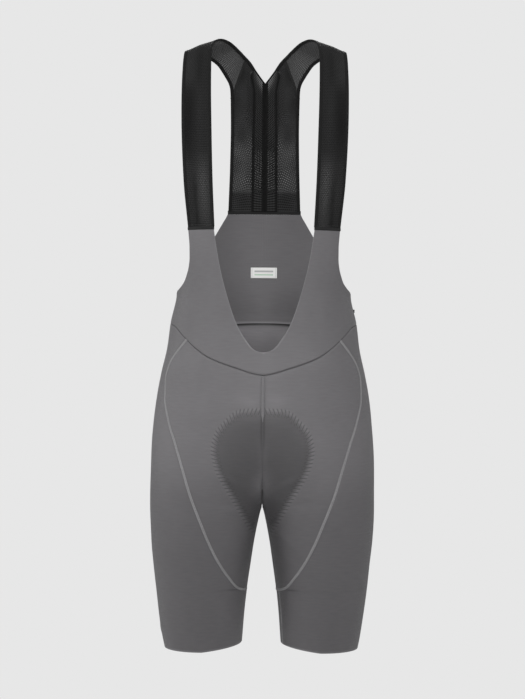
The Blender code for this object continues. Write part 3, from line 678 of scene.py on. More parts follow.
def holes_group():
    """Open mesh: rows of oval holes, every other row set over by half a hole."""
    tree, given, out = new_group(
        "mesh_holes",
        (("Vector", VECTOR, None), ("Across", FLOAT, 0.0020), ("Along", FLOAT, 0.0020),
         ("Open", FLOAT, 0.5), ("Stagger", FLOAT, 0.5), ("Squash", FLOAT, 1.0)),
        (("Cloth", FLOAT), ("Height", FLOAT)),
    )
    xyz = axes(tree, given["Vector"])
    along = maths(tree, "DIVIDE", xyz[1], given["Along"])
    row = maths(tree, "FLOOR", along)
    shift = maths(tree, "MULTIPLY", maths(tree, "MODULO", row, 2.0), given["Stagger"])
    across = maths(tree, "ADD", maths(tree, "DIVIDE", xyz[0], given["Across"]), shift)
    cell_x = maths(tree, "SUBTRACT", maths(tree, "FRACT", across), 0.5)
    up_cell = maths(tree, "SUBTRACT", maths(tree, "FRACT", along), 0.5)
    cell_y = maths(tree, "MULTIPLY", up_cell, given["Squash"])
    square_x = maths(tree, "POWER", maths(tree, "ABSOLUTE", cell_x), 2.0)
    square_y = maths(tree, "POWER", maths(tree, "ABSOLUTE", cell_y), 2.0)
    far = maths(tree, "SQRT", maths(tree, "ADD", square_x, square_y))
    edge = maths(tree, "DIVIDE", far, given["Open"])
    tree.links.new(ramp(tree, edge, 0.44, 0.56), out["Cloth"])
    tree.links.new(ramp(tree, edge, 0.40, 1.10), out["Height"])
    return tree


def stitch_group():
    """One straight row of stitches: dashes along Y at a given X."""
    tree, given, out = new_group(
        "stitch_row",
        (("Vector", VECTOR, None), ("Row", FLOAT, 0.0), ("Length", FLOAT, 0.0025), ("Thick", FLOAT, 0.0005)),
        (("Mask", FLOAT),),
    )
    xyz = axes(tree, given["Vector"])
    aside = maths(tree, "ABSOLUTE", maths(tree, "SUBTRACT", xyz[0], given["Row"]))
    line = maths(tree, "SUBTRACT", 1.0, maths(tree, "DIVIDE", aside, given["Thick"]), clamp=True)
    step = maths(tree, "FRACT", maths(tree, "DIVIDE", xyz[1], given["Length"]))
    dash = between(tree, step, 0.14, 0.86, 0.10)
    tree.links.new(maths(tree, "MULTIPLY", maths(tree, "POWER", line, 0.5), dash), out["Mask"])
    return tree


def rib_group():
    """Woven ribs: fine even ridges across a band or tape."""
    tree, given, out = new_group(
        "woven_ribs",
        (("Vector", VECTOR, None), ("Rib", FLOAT, 0.0008), ("Yarn", FLOAT, 0.0004)),
        (("Height", FLOAT), ("Shade", FLOAT)),
    )
    xyz = axes(tree, given["Vector"])
    along, across = maths(tree, "DIVIDE", xyz[1], given["Rib"]), maths(tree, "DIVIDE", xyz[0], given["Yarn"])
    ribs = maths(tree, "SINE", maths(tree, "MULTIPLY", along, 2 * math.pi))
    yarns = maths(tree, "SINE", maths(tree, "MULTIPLY", across, 2 * math.pi))
    height = maths(tree, "MULTIPLY_ADD", ribs, 0.35, maths(tree, "MULTIPLY_ADD", yarns, 0.15, 0.5))
    tree.links.new(height, out["Height"])
    tree.links.new(noise(tree, given["Vector"], 190.0, 3.0), out["Shade"])
    return tree


KNIT_LOOPS, MESH_HOLES = knit_group(), holes_group()
STITCH_ROW, WOVEN_RIBS = stitch_group(), rib_group()


def effect(tree, group, inputs):
    return shader_node(tree, "ShaderNodeGroup", {"node_tree": group}, inputs).outputs


def finish_named(name, roughness, sheen, specular=0.35):
    """A material with its Principled shader's plain values set, ready for its pattern."""
    made = bpy.data.materials.new(name)
    made.use_nodes = True
    tree = made.node_tree
    shader = tree.nodes["Principled BSDF"].inputs
    shader["Roughness"].default_value = roughness
    shader["Specular IOR Level"].default_value = specular
    shader["Sheen Weight"].default_value = sheen
    shader["Sheen Roughness"].default_value = 0.45
    return made, tree, shader


def bump(tree, shader, height, strength, distance):
    inputs = {"Height": height, "Strength": strength, "Distance": distance}
    tree.links.new(shader_node(tree, "ShaderNodeBump", {}, inputs).outputs[0], shader["Normal"])


def attribute(tree, name):
    return shader_node(tree, "ShaderNodeAttribute", {"attribute_name": name}).outputs["Fac"]


def uv_vector(tree):
    return shader_node(tree, "ShaderNodeUVMap", {"uv_map": "cloth"}).outputs[0]


def grey_knit_finish():
    made, tree, shader = finish_named("grey_knit_finish", 0.50, 0.10, 0.50)
    vector = uv_vector(tree)
    knit = effect(tree, KNIT_LOOPS, {"Vector": vector})
    streaks = ramp(tree, knit["Shade"], 0.30, 0.70, curve="LINEAR")
    colour = mixed(tree, streaks, (0.139, 0.134, 0.141, 1), (0.161, 0.155, 0.163, 1))
    loops = maths(tree, "MULTIPLY_ADD", knit["Height"], 0.16, 0.90)
    shade = maths(tree, "MULTIPLY", loops, attribute(tree, "light"))
    # Dark dashes round the insert's rim: partly its zigzag stitches, partly painted shade in the troughs they
    # pucker.
    reach, along = attribute(tree, "rim_reach"), attribute(tree, "rim_along")
    slanted = maths(tree, "MULTIPLY_ADD", reach, -0.45, along)
    step = maths(tree, "DIVIDE", slanted, PAD_STITCH_STEP)
    in_rows = []
    for first, last, offset, depth in ((-0.0002, 0.0096, 0.0, 1.0), (0.0042, 0.0124, 0.5, 0.45)):
        row = between(tree, reach, first, last, 0.0012)
        phase = maths(tree, "FRACT", maths(tree, "ADD", step, offset))
        dash = maths(tree, "MULTIPLY", row, between(tree, phase, 0.30, 0.60, 0.16))
        in_rows.append(maths(tree, "MULTIPLY", dash, depth))
    dashes = maths(tree, "MAXIMUM", *in_rows)
    # Painted highlights on the puckered cloth along the rim.
    pucker_highlights = maths(tree, "MULTIPLY", between(tree, reach, -0.0004, 0.0090, 0.0016), knit["Shade"])
    colour = mixed(tree, maths(tree, "MULTIPLY", pucker_highlights, 0.10), colour, (0.50, 0.49, 0.51, 1))
    shade = maths(tree, "MULTIPLY", shade, maths(tree, "MULTIPLY_ADD", dashes, -0.50, 1.0))
    shaded = shader_node(tree, "ShaderNodeVectorMath", {"operation": "SCALE"}, {0: colour, "Scale": shade})
    tree.links.new(shaded.outputs[0], shader["Base Color"])
    tree.links.new(maths(tree, "MULTIPLY_ADD", streaks, -0.06, 0.53), shader["Roughness"])
    bump(tree, shader, maths(tree, "MULTIPLY_ADD", dashes, -2.6, knit["Height"]), 0.5, 0.00022)
    return made


BLACK_STITCH = (0.013, 0.013, 0.013, 1)
LADDER_STEP = (0.0048, 0.0043)  # from hole to hole in the lined middle of the racer back, across and along
LADDER_OPEN, LADDER_SQUASH = 0.88, 3.0


def strap_mesh_finish(name, light, open_share, step, rib, yarn, ribs, stagger=0.5, squash=1.0, lined=False):
    """Black open mesh. Where the open mask is below 1, its holes close up, as where a second layer lies on it.

    Where the lined mask is 1, only the lining's holes are seen through it.
    """
    made, tree, shader = finish_named(name, 0.62, 0.04, 0.14)
    vector = uv_vector(tree)
    mesh = effect(tree, MESH_HOLES, {"Vector": vector, "Across": step[0], "Along": step[1],
                                     "Open": open_share, "Stagger": stagger, "Squash": squash})
    weave = effect(tree, WOVEN_RIBS, {"Vector": vector, "Rib": rib, "Yarn": yarn})
    woven = maths(tree, "MULTIPLY", maths(tree, "SUBTRACT", weave["Height"], 0.5), ribs)
    shade = maths(tree, "MULTIPLY_ADD", mesh["Height"], 0.75, woven, clamp=True)
    shade = maths(tree, "MULTIPLY", shade, attribute(tree, "light"), clamp=True)
    tree.links.new(mixed(tree, shade, (0.003, 0.003, 0.003, 1), light), shader["Base Color"])
    cloth = mesh["Cloth"]
    if lined:
        unlined = maths(tree, "SUBTRACT", 1.0, attribute(tree, "lined"), clamp=True)
        cloth = maths(tree, "MULTIPLY", cloth, unlined)
    closed = maths(tree, "SUBTRACT", 1.0, attribute(tree, "open"), clamp=True)
    tree.links.new(maths(tree, "MAXIMUM", cloth, closed), shader["Alpha"])
    rough = maths(tree, "MULTIPLY_ADD", mesh["Height"], -0.10, 0.70)
    tree.links.new(rough, shader["Roughness"])
    bump(tree, shader, maths(tree, "MULTIPLY_ADD", weave["Height"], 0.3, mesh["Height"]), 0.6, 0.0004)
    return made


def trim_finish(name, dark, light, rows):
    """Black woven trim with rows of stitching along it."""
    made, tree, shader = finish_named(name, 0.60, 0.03, 0.12)
    vector = uv_vector(tree)
    weave = effect(tree, WOVEN_RIBS, {"Vector": vector, "Rib": 0.0010, "Yarn": 0.0005})
    shade = maths(tree, "MULTIPLY", weave["Height"], maths(tree, "ADD", weave["Shade"], 0.5), clamp=True)
    colour = mixed(tree, shade, dark, light)
    height = weave["Height"]
    for row in rows:
        stitches = effect(tree, STITCH_ROW, {"Vector": vector, "Row": row})["Mask"]
        colour = mixed(tree, stitches, colour, BLACK_STITCH)
        height = maths(tree, "MULTIPLY_ADD", stitches, 1.4, height)
    tree.links.new(colour, shader["Base Color"])
    tree.links.new(maths(tree, "MULTIPLY_ADD", weave["Shade"], 0.15, 0.52), shader["Roughness"])
    bump(tree, shader, height, 0.6, 0.00025)
    return made


def flat_seam_finish(name, dark, light):
    """The looper threads of a flat seam, which cross to and fro between its two outer rows."""
    made, tree, shader = finish_named(name, 0.55, 0.30, 0.40)
    vector = uv_vector(tree)
    xyz = axes(tree, vector)
    slant = maths(tree, "MULTIPLY_ADD", maths(tree, "ABSOLUTE", xyz[0]), 0.6, xyz[1])
    threads = maths(tree, "SINE", maths(tree, "MULTIPLY", slant, 2 * math.pi / 0.0011))
    cross = maths(tree, "SINE", maths(tree, "MULTIPLY", xyz[0], 2 * math.pi / 0.0019))
    height = maths(tree, "MULTIPLY_ADD", threads, 0.35, maths(tree, "MULTIPLY_ADD", cross, 0.2, 0.5))
    cloudy = noise(tree, vector, 160.0, 2.0)
    share = maths(tree, "MULTIPLY", height, maths(tree, "ADD", cloudy, 0.6), clamp=True)
    tree.links.new(mixed(tree, share, dark, light), shader["Base Color"])
    tree.links.new(maths(tree, "MULTIPLY_ADD", cloudy, 0.2, 0.45), shader["Roughness"])
    bump(tree, shader, height, 0.8, 0.0003)
    return made


def thread_finish(name, dark, light):
    made, tree, shader = finish_named(name, 0.48, 0.20, 0.45)
    place = shader_node(tree, "ShaderNodeTexCoord").outputs["Object"]
    twist = shader_node(tree, "ShaderNodeTexWave", {"bands_direction": "DIAGONAL"},
                        {"Vector": place, "Scale": 900.0, "Distortion": 2.0, "Detail": 1.0}).outputs["Fac"]
    tree.links.new(mixed(tree, twist, dark, light), shader["Base Color"])
    tree.links.new(maths(tree, "MULTIPLY_ADD", twist, 0.15, 0.42), shader["Roughness"])
    bump(tree, shader, twist, 0.4, 0.0001)
    return made


def pad_finish():
    """Brushed face cloth over foam, with a fine dotted texture."""
    made, tree, shader = finish_named("pad_face_finish", 0.80, 0.55, 0.25)
    vector = uv_vector(tree)
    dots = effect(tree, MESH_HOLES, {"Vector": vector, "Across": 0.0032, "Along": 0.0028, "Open": 0.55})
    nap = noise(tree, vector, 900.0, 3.0)
    dotted = maths(tree, "MULTIPLY_ADD", dots["Cloth"], 0.4, nap)
    shade = maths(tree, "MULTIPLY", dotted, attribute(tree, "light"))
    colour = mixed(tree, shade, (0.030, 0.030, 0.033, 1), (0.105, 0.103, 0.110, 1))
    tree.links.new(colour, shader["Base Color"])
    tree.links.new(maths(tree, "MULTIPLY_ADD", nap, 0.15, 0.72), shader["Roughness"])
    bump(tree, shader, maths(tree, "MULTIPLY_ADD", nap, 0.5, dots["Height"]), 0.5, 0.0004)
    return made


def label_finish():
    """White satin label with two plain woven bars and its two sewn ends."""
    made, tree, shader = finish_named("white_satin_finish", 0.42, 0.15, 0.45)
    vector = uv_vector(tree)
    xyz = axes(tree, vector)
    weave = effect(tree, WOVEN_RIBS, {"Vector": vector, "Rib": 0.00032, "Yarn": 0.00022})
    colour = mixed(tree, weave["Height"], (0.90, 0.90, 0.89, 1), (0.98, 0.98, 0.97, 1))
    inside = between(tree, xyz[0], -0.0150, 0.0150, 0.0002)
    green_bar, grey_bar = (-0.0042, -0.0022, (0.32, 0.55, 0.36, 1)), (0.0010, 0.0036, (0.36, 0.37, 0.38, 1))
    for low, high, tint in (green_bar, grey_bar):
        bar = maths(tree, "MULTIPLY", between(tree, xyz[1], low, high, 0.0002), inside)
        colour = mixed(tree, maths(tree, "MULTIPLY", bar, 0.75), colour, tint)
    for row in (-0.0190, 0.0190):
        stitches = effect(tree, STITCH_ROW, {"Vector": vector, "Row": row, "Length": 0.0016, "Thick": 0.0004})
        colour = mixed(tree, stitches["Mask"], colour, (0.42, 0.42, 0.42, 1))
    tree.links.new(colour, shader["Base Color"])
    tree.links.new(maths(tree, "MULTIPLY_ADD", weave["Shade"], 0.12, 0.36), shader["Roughness"])
    bump(tree, shader, weave["Height"], 0.4, 0.0001)
    return made


GREY_KNIT = grey_knit_finish()
STRAP_MESH = strap_mesh_finish("strap_mesh_finish", (0.120, 0.120, 0.121, 1), 0.34, (0.0027, 0.0027),
                               rib=0.0027, yarn=0.0025, ribs=0.8)
RACER_MESH = strap_mesh_finish("racer_mesh_finish", (0.060, 0.060, 0.061, 1), 0.44, (0.0034, 0.0041),
                               rib=0.0041, yarn=0.0034, ribs=0.9, squash=1.9, lined=True)
STRIP_MESH = strap_mesh_finish("strip_mesh_finish", (0.200, 0.200, 0.201, 1), LADDER_OPEN, LADDER_STEP,
                               rib=LADDER_STEP[1], yarn=LADDER_STEP[0], ribs=0.9, stagger=0.0,
                               squash=LADDER_SQUASH)
BINDING = trim_finish("binding_finish", (0.007, 0.007, 0.007, 1), (0.017, 0.017, 0.017, 1), (0.0036,))
SEAM_COVER = trim_finish("seam_cover_finish", (0.012, 0.012, 0.012, 1), (0.042, 0.042, 0.042, 1), ())
BAND = trim_finish("band_finish", (0.012, 0.012, 0.012, 1), (0.034, 0.034, 0.034, 1), (0.0014, 0.0038))
TAPE = trim_finish("tape_finish", (0.002, 0.002, 0.002, 1), (0.006, 0.006, 0.006, 1), (-0.0032, 0.0032))
FLAT_SEAM = flat_seam_finish("flat_seam_finish", (0.150, 0.147, 0.152, 1), (0.350, 0.345, 0.353, 1))
CENTRE_BAND = flat_seam_finish("centre_band_finish", (0.120, 0.116, 0.122, 1), (0.205, 0.199, 0.207, 1))
GREY_THREAD = thread_finish("grey_thread_finish", (0.22, 0.216, 0.223, 1), (0.36, 0.355, 0.363, 1))
SOFT_THREAD = thread_finish("soft_thread_finish", (0.012, 0.012, 0.012, 1), (0.026, 0.026, 0.027, 1))
KNIT_THREAD = thread_finish("knit_thread_finish", (0.100, 0.097, 0.102, 1), (0.180, 0.175, 0.182, 1))
PAD_FACE = pad_finish()
WHITE_SATIN = label_finish()


# ---------------------------------------------------------------- making meshes


def add_grid(bm, points, uvs, layers, values):
    """Adds a grid of faces moved onto points, with its UVs in metres and its vertices' other values."""
    rows, columns = points.shape[:2]
    made = bmesh.ops.create_grid(bm, x_segments=columns - 1, y_segments=rows - 1, size=1.0)
    uv_layer = bm.loops.layers.uv.verify()
    places = {}
    for vertex in made["verts"]:
        column = round((vertex.co.x + 1) / 2 * (columns - 1))
        row = round((vertex.co.y + 1) / 2 * (rows - 1))
        places[vertex] = (row, column)
    for face in {face for vertex in made["verts"] for face in vertex.link_faces}:
        for loop in face.loops:
            loop[uv_layer].uv = uvs[places[loop.vert]]
    for vertex, place in places.items():
        vertex.co = points[place]
        for name, layer in layers.items():
            vertex[layer] = values[name][place]


def put(name, bm, finish, sharp=50):
    """Turns a finished bmesh into an object that rides on the garment."""
    mesh = bpy.data.meshes.new(name)
    uv_layer = bm.loops.layers.uv.active
    bm.to_mesh(mesh)
    bm.free()
    if uv_layer is not None:
        mesh.uv_layers[0].name = "cloth"
    mesh.materials.append(finish)
    mesh.shade_smooth()
    mesh.set_sharp_from_angle(angle=math.radians(sharp))
    made = bpy.data.objects.new(name, mesh)
    bpy.context.scene.collection.objects.link(made)
    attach(made, "root")
    return made


def flat_uvs(points, middle=False):
    """UVs in metres: X along each row from its first point or its middle, and Y down the first column."""
    across = np.stack([lengths_along(row) for row in points])
    if middle:
        across -= across[:, -1:] / 2
    down = lengths_along(points[:, points.shape[1] // 2])
    return np.stack([across, np.broadcast_to(down[:, None], across.shape)], axis=-1)


def sew(name, finish, sheets, thickness):
    """One closed wall of cloth from grids that share edges. A sheet is points, inward, uvs and its values."""
    bm = bmesh.new()
    names = sorted(sheets[0][3])
    layers = {key: bm.verts.layers.float.new(key) for key in names}
    inward_layer = bm.verts.layers.float_vector.new("inward")
    for points, inward, uvs, values in sheets:
        add_grid(bm, points, uvs, {**layers, "inward": inward_layer},
                 {**values, "inward": inward * np.asarray(thickness)[..., None]})
    bmesh.ops.remove_doubles(bm, verts=bm.verts, dist=2e-6)
    bmesh.ops.recalc_face_normals(bm, faces=bm.faces)
    lifted = bmesh.ops.extrude_face_region(bm, geom=list(bm.faces), use_keep_orig=True)
    for item in lifted["geom"]:
        if isinstance(item, bmesh.types.BMVert):
            item.co += item[inward_layer]
    bmesh.ops.recalc_face_normals(bm, faces=bm.faces)
    bm.verts.layers.float_vector.remove(bm.verts.layers.float_vector["inward"])
    return put(name, bm, finish)


EDGE_CELLS = {
    "b": (np.s_[0, :], np.s_[1, :]),
    "t": (np.s_[-1, :], np.s_[-2, :]),
    "l": (np.s_[:, 0], np.s_[:, 1]),
    "r": (np.s_[:, -1], np.s_[:, -2]),
}  # a grid's edge and the cells just inside it: b is its first row, t its last, l its first column, r its last


def set_back(points, edges, gap=SEAM_GAP / 2):
    """Moves some of a grid's edges in, by half a seam gap unless another gap is given."""
    moved = points.copy()
    for edge in edges:
        here, inside = EDGE_CELLS[edge]
        moved[here] += gap * unit(points[inside] - points[here])
    return moved


def edge_rows(places, seams):
    """The places with one more row or column close inside each seam, where the cloth rolls in."""
    for edge, at, axis in (("b", 1, 0), ("t", -1, 0), ("l", 1, 1), ("r", -1, 1)):
        if edge in seams:
            here, inside = EDGE_CELLS[edge]
            rolled = places[here] * (1 - SEAM_ROLL) + places[inside] * SEAM_ROLL
            places = np.insert(places, at, rolled, axis=axis)
    return places


def knit_light(u, z, x, reach):
    """How light the knit is: darker over the insert, partly the dark pad seen through it and partly painted
    shade, with painted light and shade between the thighs and at the small of the back.
    """
    # Over the insert: partly the dark pad seen through, partly painted shade, eased where the thighs meet
    between_thighs = np.exp(-((x / 0.016) ** 2)) * soft_step((THIGHS_MEET - z) / 0.045)
    over_pad = 0.42 + 0.05 * soft_step((PAD_SHADE_TOP - z) / 0.150) - 0.50 * between_thighs
    light = 1 - soft_step((reach - 0.0030) / 0.0080) * over_pad
    # A painted highlight above the insert.
    above_pad = np.exp(-(((x - 0.021) / 0.017) ** 2) - ((z - ABOVE_PAD) / 0.0095) ** 2)
    light = light * (1 + 0.16 * above_pad * (u < 0.5))
    # Painted shade that deepens lower down.
    light = light * (1 - 0.20 * soft_step((FOLD_TOP - z) / 0.120))
    # Painted shade round the small of the back.
    light = light * (1 - 0.14 * np.exp(-(((z - SMALL_OF_BACK) / 0.100) ** 2)))
    # Painted light along the centre front seam, where it lies in the fold.
    light = light * (1 + 0.20 * np.exp(-((x / 0.006) ** 2)) * soft_step((SEAM_TONE_TOP - z) / 0.040))
    # Painted shade on the inner legs below the insert.
    towards_inseam = np.where(u > 0.5, 1 - u, u) * HALF_GIRTH
    below_pad = soft_step((THIGHS_MEET - z) / 0.090) * soft_step((z - THIGH_SHADE_FOOT) / 0.120)
    return light * (1 - 0.12 * below_pad * np.exp(-((towards_inseam / 0.065) ** 2)))


def knit_sheet(places, side, seams, inset=0.0, middle=None):
    """A knit panel's points, inward directions, UVs and values, rolled in along its seams.

    middle is the column that lies on the wearer's mid-plane, if there is one.
    """
    u, z = places[..., 0], places[..., 1]
    inward = cloth_inward(places, side)
    points = cloth_point(places, side, -inset * np.ones(places.shape[:2]))
    points = set_back(points, seams)
    on_middle = np.isclose(u, 0) | np.isclose(u, 1)
    groove = np.where(on_middle, 1 - 0.8 * soft_step((FOLD_TOP - z) / 0.030), 1.0)
    for edge in seams:
        here, _ = EDGE_CELLS[edge]
        points[here] += SEAM_SINK * groove[here][..., None] * inward[here]
    if middle is not None:
        points[:, middle, 0] = 0.0
        inward[:, middle, 0] = 0.0
    reach, along = rim_reach(places)
    light = knit_light(u, z, np.abs(points[..., 0]), reach)
    for edge in seams:
        here, _ = EDGE_CELLS[edge]
        light[here] *= 1 - (1 - SEAM_SHADE) * groove[here]
    values = {"rim_reach": reach, "rim_along": along, "light": light}
    uvs = places * np.array((HALF_GIRTH * side, 1.0)) + np.array((0.0, 1.0))
    return points, inward, uvs, values


def declare_cut(points_by_panel):
    """Works out a cloth piece's widths, lengths and area on the body, and keeps none of them."""
    widths, lengths, area = [], [], 0.0
    for points in points_by_panel:
        widths.append(max(lengths_along(row)[-1] for row in points))
        lengths.append(max(lengths_along(points[:, column])[-1] for column in range(points.shape[1])))
        one = points[1:, 1:] - points[:-1, :-1]
        two = points[1:, :-1] - points[:-1, 1:]
        area += np.linalg.norm(np.cross(one, two), axis=-1).sum() / 2


def sweep(name, finish, path, out, section, taper=1.0):
    """A closed section swept along a path: the section is (across, out) points in metres, out a direction.

    The taper scales the section's width at each point of the path.
    """
    along = unit(np.gradient(path, axis=0))
    out = unit(out - (out * along).sum(-1, keepdims=True) * along)
    across = np.cross(along, out)
    section = np.asarray(section, float)
    loop = np.concatenate([section, section[:1]])
    width = (loop[None, :, 0] * np.broadcast_to(taper, len(path))[:, None])[..., None]
    points = path[:, None] + width * across[:, None] + loop[None, :, 1:] * out[:, None]
    travelled = lengths_along(path)
    widest = np.broadcast_to(loop[None, :, 0], points.shape[:2])
    uvs = np.stack([widest, np.broadcast_to(travelled[:, None], points.shape[:2])], axis=-1)
    bm = bmesh.new()
    add_grid(bm, points, uvs, {}, {})
    bmesh.ops.remove_doubles(bm, verts=bm.verts, dist=1e-6)
    rims = [edge for edge in bm.edges if edge.is_boundary]
    bmesh.ops.holes_fill(bm, edges=rims)
    bmesh.ops.recalc_face_normals(bm, faces=bm.faces)
    return put(name, bm, finish, 60)


def strip_section(half_width, rise, sunk):
    """A low rounded strip, sunk a little into the cloth under it."""
    across = np.linspace(-1, 1, 7)
    top = [(c * half_width, rise * (1 - c**4)) for c in across]
    return top + [(0.96 * half_width, -sunk), (-0.96 * half_width, -sunk)]


def threads(name, finish, slot, runs, radius):
    """Sewing threads along runs of points, as one mesh."""
    curve = bpy.data.curves.new(name, "CURVE")
    curve.dimensions = "3D"
    curve.bevel_depth = radius
    curve.bevel_resolution = 0
    curve.use_fill_caps = True
    for run in runs:
        spline = curve.splines.new("POLY")
        spline.points.add(len(run) - 1)
        spline.points.foreach_set("co", np.hstack([run, np.ones((len(run), 1))]).ravel())
    holder = bpy.data.objects.new(name + "_run", curve)
    bpy.context.scene.collection.objects.link(holder)
    bpy.context.view_layer.update()
    mesh = bpy.data.meshes.new_from_object(holder.evaluated_get(bpy.context.evaluated_depsgraph_get()))
    bpy.data.objects.remove(holder, do_unlink=True)
    mesh.name = name
    mesh.materials.clear()
    mesh.materials.append(finish)
    mesh.shade_smooth()
    made = bpy.data.objects.new(name, mesh)
    bpy.context.scene.collection.objects.link(made)
    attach(made, "root")
    return made


def resampled(places, side, step=TRIM_STEP):
    """Places at even distances on the cloth along a run of places."""
    places = np.asarray(places, float)
    travelled = lengths_along(cloth_point(places, side))
    at = np.linspace(0, travelled[-1], max(2, round(travelled[-1] / step)) + 1)
    return spread(places, travelled, at)


def run_on_cloth(places, side, lift):
    """A path on the cloth with its outward directions, for a strip or a row of stitches."""
    return cloth_point(places, side, np.full(len(places), lift)), -cloth_inward(places, side)


def stitch_runs(path, out, offsets, spacing, high, low):
    """Straight rows of stitches beside a path. A stitch rises off the cloth and dips into it at its ends."""
    along = unit(np.gradient(path, axis=0))
    across = np.cross(along, unit(out))
    travelled = lengths_along(path)
    at = np.arange(0, travelled[-1], spacing / 4)
    heights = np.where(np.arange(len(at)) % 4 == 0, low, high)
    lift = unit(spread(out, travelled, at)) * heights[:, None]
    return [spread(path + across * offset, travelled, at) + lift for offset in offsets]


def zigzag_run(path, out, half_width, spacing, lift):
    """One thread that crosses to and fro over a path."""
    along = unit(np.gradient(path, axis=0))
    across = np.cross(along, unit(out))
    travelled = lengths_along(path)
    at = np.arange(0, travelled[-1], spacing)
    way = np.where(np.arange(len(at)) % 2 == 0, 1.0, -1.0)[:, None]
    aside = unit(spread(across, travelled, at)) * half_width * way
    return spread(path, travelled, at) + aside + unit(spread(out, travelled, at)) * lift


# ---------------------------------------------------------------- the knit panels


def bib_front():
    bottom = joined(waist_places(waist_front_u), waist_places(waist_hip_u))
    columns = len(bottom) - 1
    centre_rows, side_rows = BIB_ROWS // 6, BIB_ROWS // 3
    centre = straight_down(0, np.linspace(WAIST_MIDDLE, NECK_POINT, centre_rows + 1))
    neck = on_form(even_points(NECK_LINE, BIB_ROWS - centre_rows))
    side = straight_down(0.5, np.linspace(WAIST_SIDE, UNDERARM, side_rows + 1))
    armhole = on_form(even_points(ARMHOLE_LINE, BIB_ROWS - side_rows))
    armhole[0] = (0.5, UNDERARM)
    neck[0] = (0.0, NECK_POINT)
    top = on_form(np.linspace((STRAP_FOOT_INNER, STRAP_FOOT), (STRAP_FOOT_OUTER, STRAP_FOOT), columns + 1))
    places = edge_rows(patch(bottom, top, joined(centre, neck), joined(side, armhole)), "br")
    centre_rows, side_rows = centre_rows + 1, side_rows + 1
    sheets = []
    for _, way in SIDES:
        points, inward, uvs, values = knit_sheet(places, way, "b")
        points[: centre_rows + 1, 0, 0] = 0.0
        inward[: centre_rows + 1, 0, 0] = 0.0
        points[1 : side_rows + 1, -1] += SEAM_SINK * inward[1 : side_rows + 1, -1]
        values["light"][: side_rows + 1, -1] *= SEAM_SHADE
        # Painted highlights on the cut edges of the neck and the armhole.
        values["light"][centre_rows:, 0] = 1.45
        values["light"][side_rows + 1 :, -1] = 1.30
        sheets.append((points, inward, uvs, values))
    made = sew("bib_front_cloth", GREY_KNIT, sheets, KNIT)
    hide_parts("bib_front")
    declare_cut([sheet[0] for sheet in sheets])


def shade_inside(made, outer_points, tone):
    """Multiplies the light value of a wall's inner face by tone, which is given each vertex's place."""
    outer = np.concatenate([sheet.reshape(-1, 3) for sheet in outer_points])
    nearest = KDTree(len(outer))
    for number, point in enumerate(outer):
        nearest.insert(point, number)
    nearest.balance()
    values = made.data.attributes["light"].data
    for vertex, value in zip(made.data.vertices, values):
        if nearest.find(vertex.co)[2] > KNIT / 4:
            value.value *= tone(vertex.co)


def back_upper():
    """The panel at the small of the back. It lies inside the panel below it, and ends at a loose edge."""
    side_rows = BACK_ROWS * 3 // 8
    side = straight_down(0.5, np.linspace(overlap_height(0.5), UNDERARM, side_rows + 1))
    armhole = on_form(even_points(BACK_ARMHOLE_LINE, BACK_ROWS - side_rows), behind=True)
    armhole[0] = (0.5, UNDERARM)
    top_height = BAND_TOP - BAND_TALL - SEAM_GAP
    top_u = np.linspace(armhole[-1, 0], 1.0, BACK_COLUMNS + 1)
    top = np.stack([top_u, np.full(BACK_COLUMNS + 1, top_height)], axis=-1)
    bottom = np.stack([waist_back_u, overlap_height(waist_back_u)], axis=-1)
    armhole[-1] = top[0]
    middle = straight_down(1, np.linspace(BACK_OVERLAP_EDGE, top_height, BACK_ROWS + 1))
    places = patch(bottom, top, joined(side, armhole), middle)
    sheets = []
    for _, way in SIDES:
        below_band = soft_step((BAND_TOP - 0.012 - places[..., 1]) / 0.050)
        inset = BAND_INSET + (KNIT + LOOSE_GAP - BAND_INSET) * below_band
        points, inward, uvs, values = knit_sheet(places, way, "", inset=inset, middle=-1)
        # Painted light and shade: darker near the top of the panel, lighter lower down.
        values["light"] = values["light"] * (0.92 + 0.20 * soft_step((-0.260 - places[..., 1]) / 0.130))
        above_edge = places[..., 1] - overlap_height(places[..., 0])
        flare = soft_step(1 - above_edge / 0.016) * soft_step((places[..., 0] - 0.5) / 0.05)
        points = points + inward * (0.0028 * flare)[..., None]
        points[:, -1, 0] = 0.0
        # Painted highlights on the loose edge and the armhole edge.
        values["light"][0] = 1.9
        values["light"][side_rows:, 0] = 1.3
        sheets.append((points, inward, uvs, values))
    made = sew("back_upper_cloth", GREY_KNIT, sheets, KNIT)
    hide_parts("back_upper")
    declare_cut([sheet[0] for sheet in sheets])


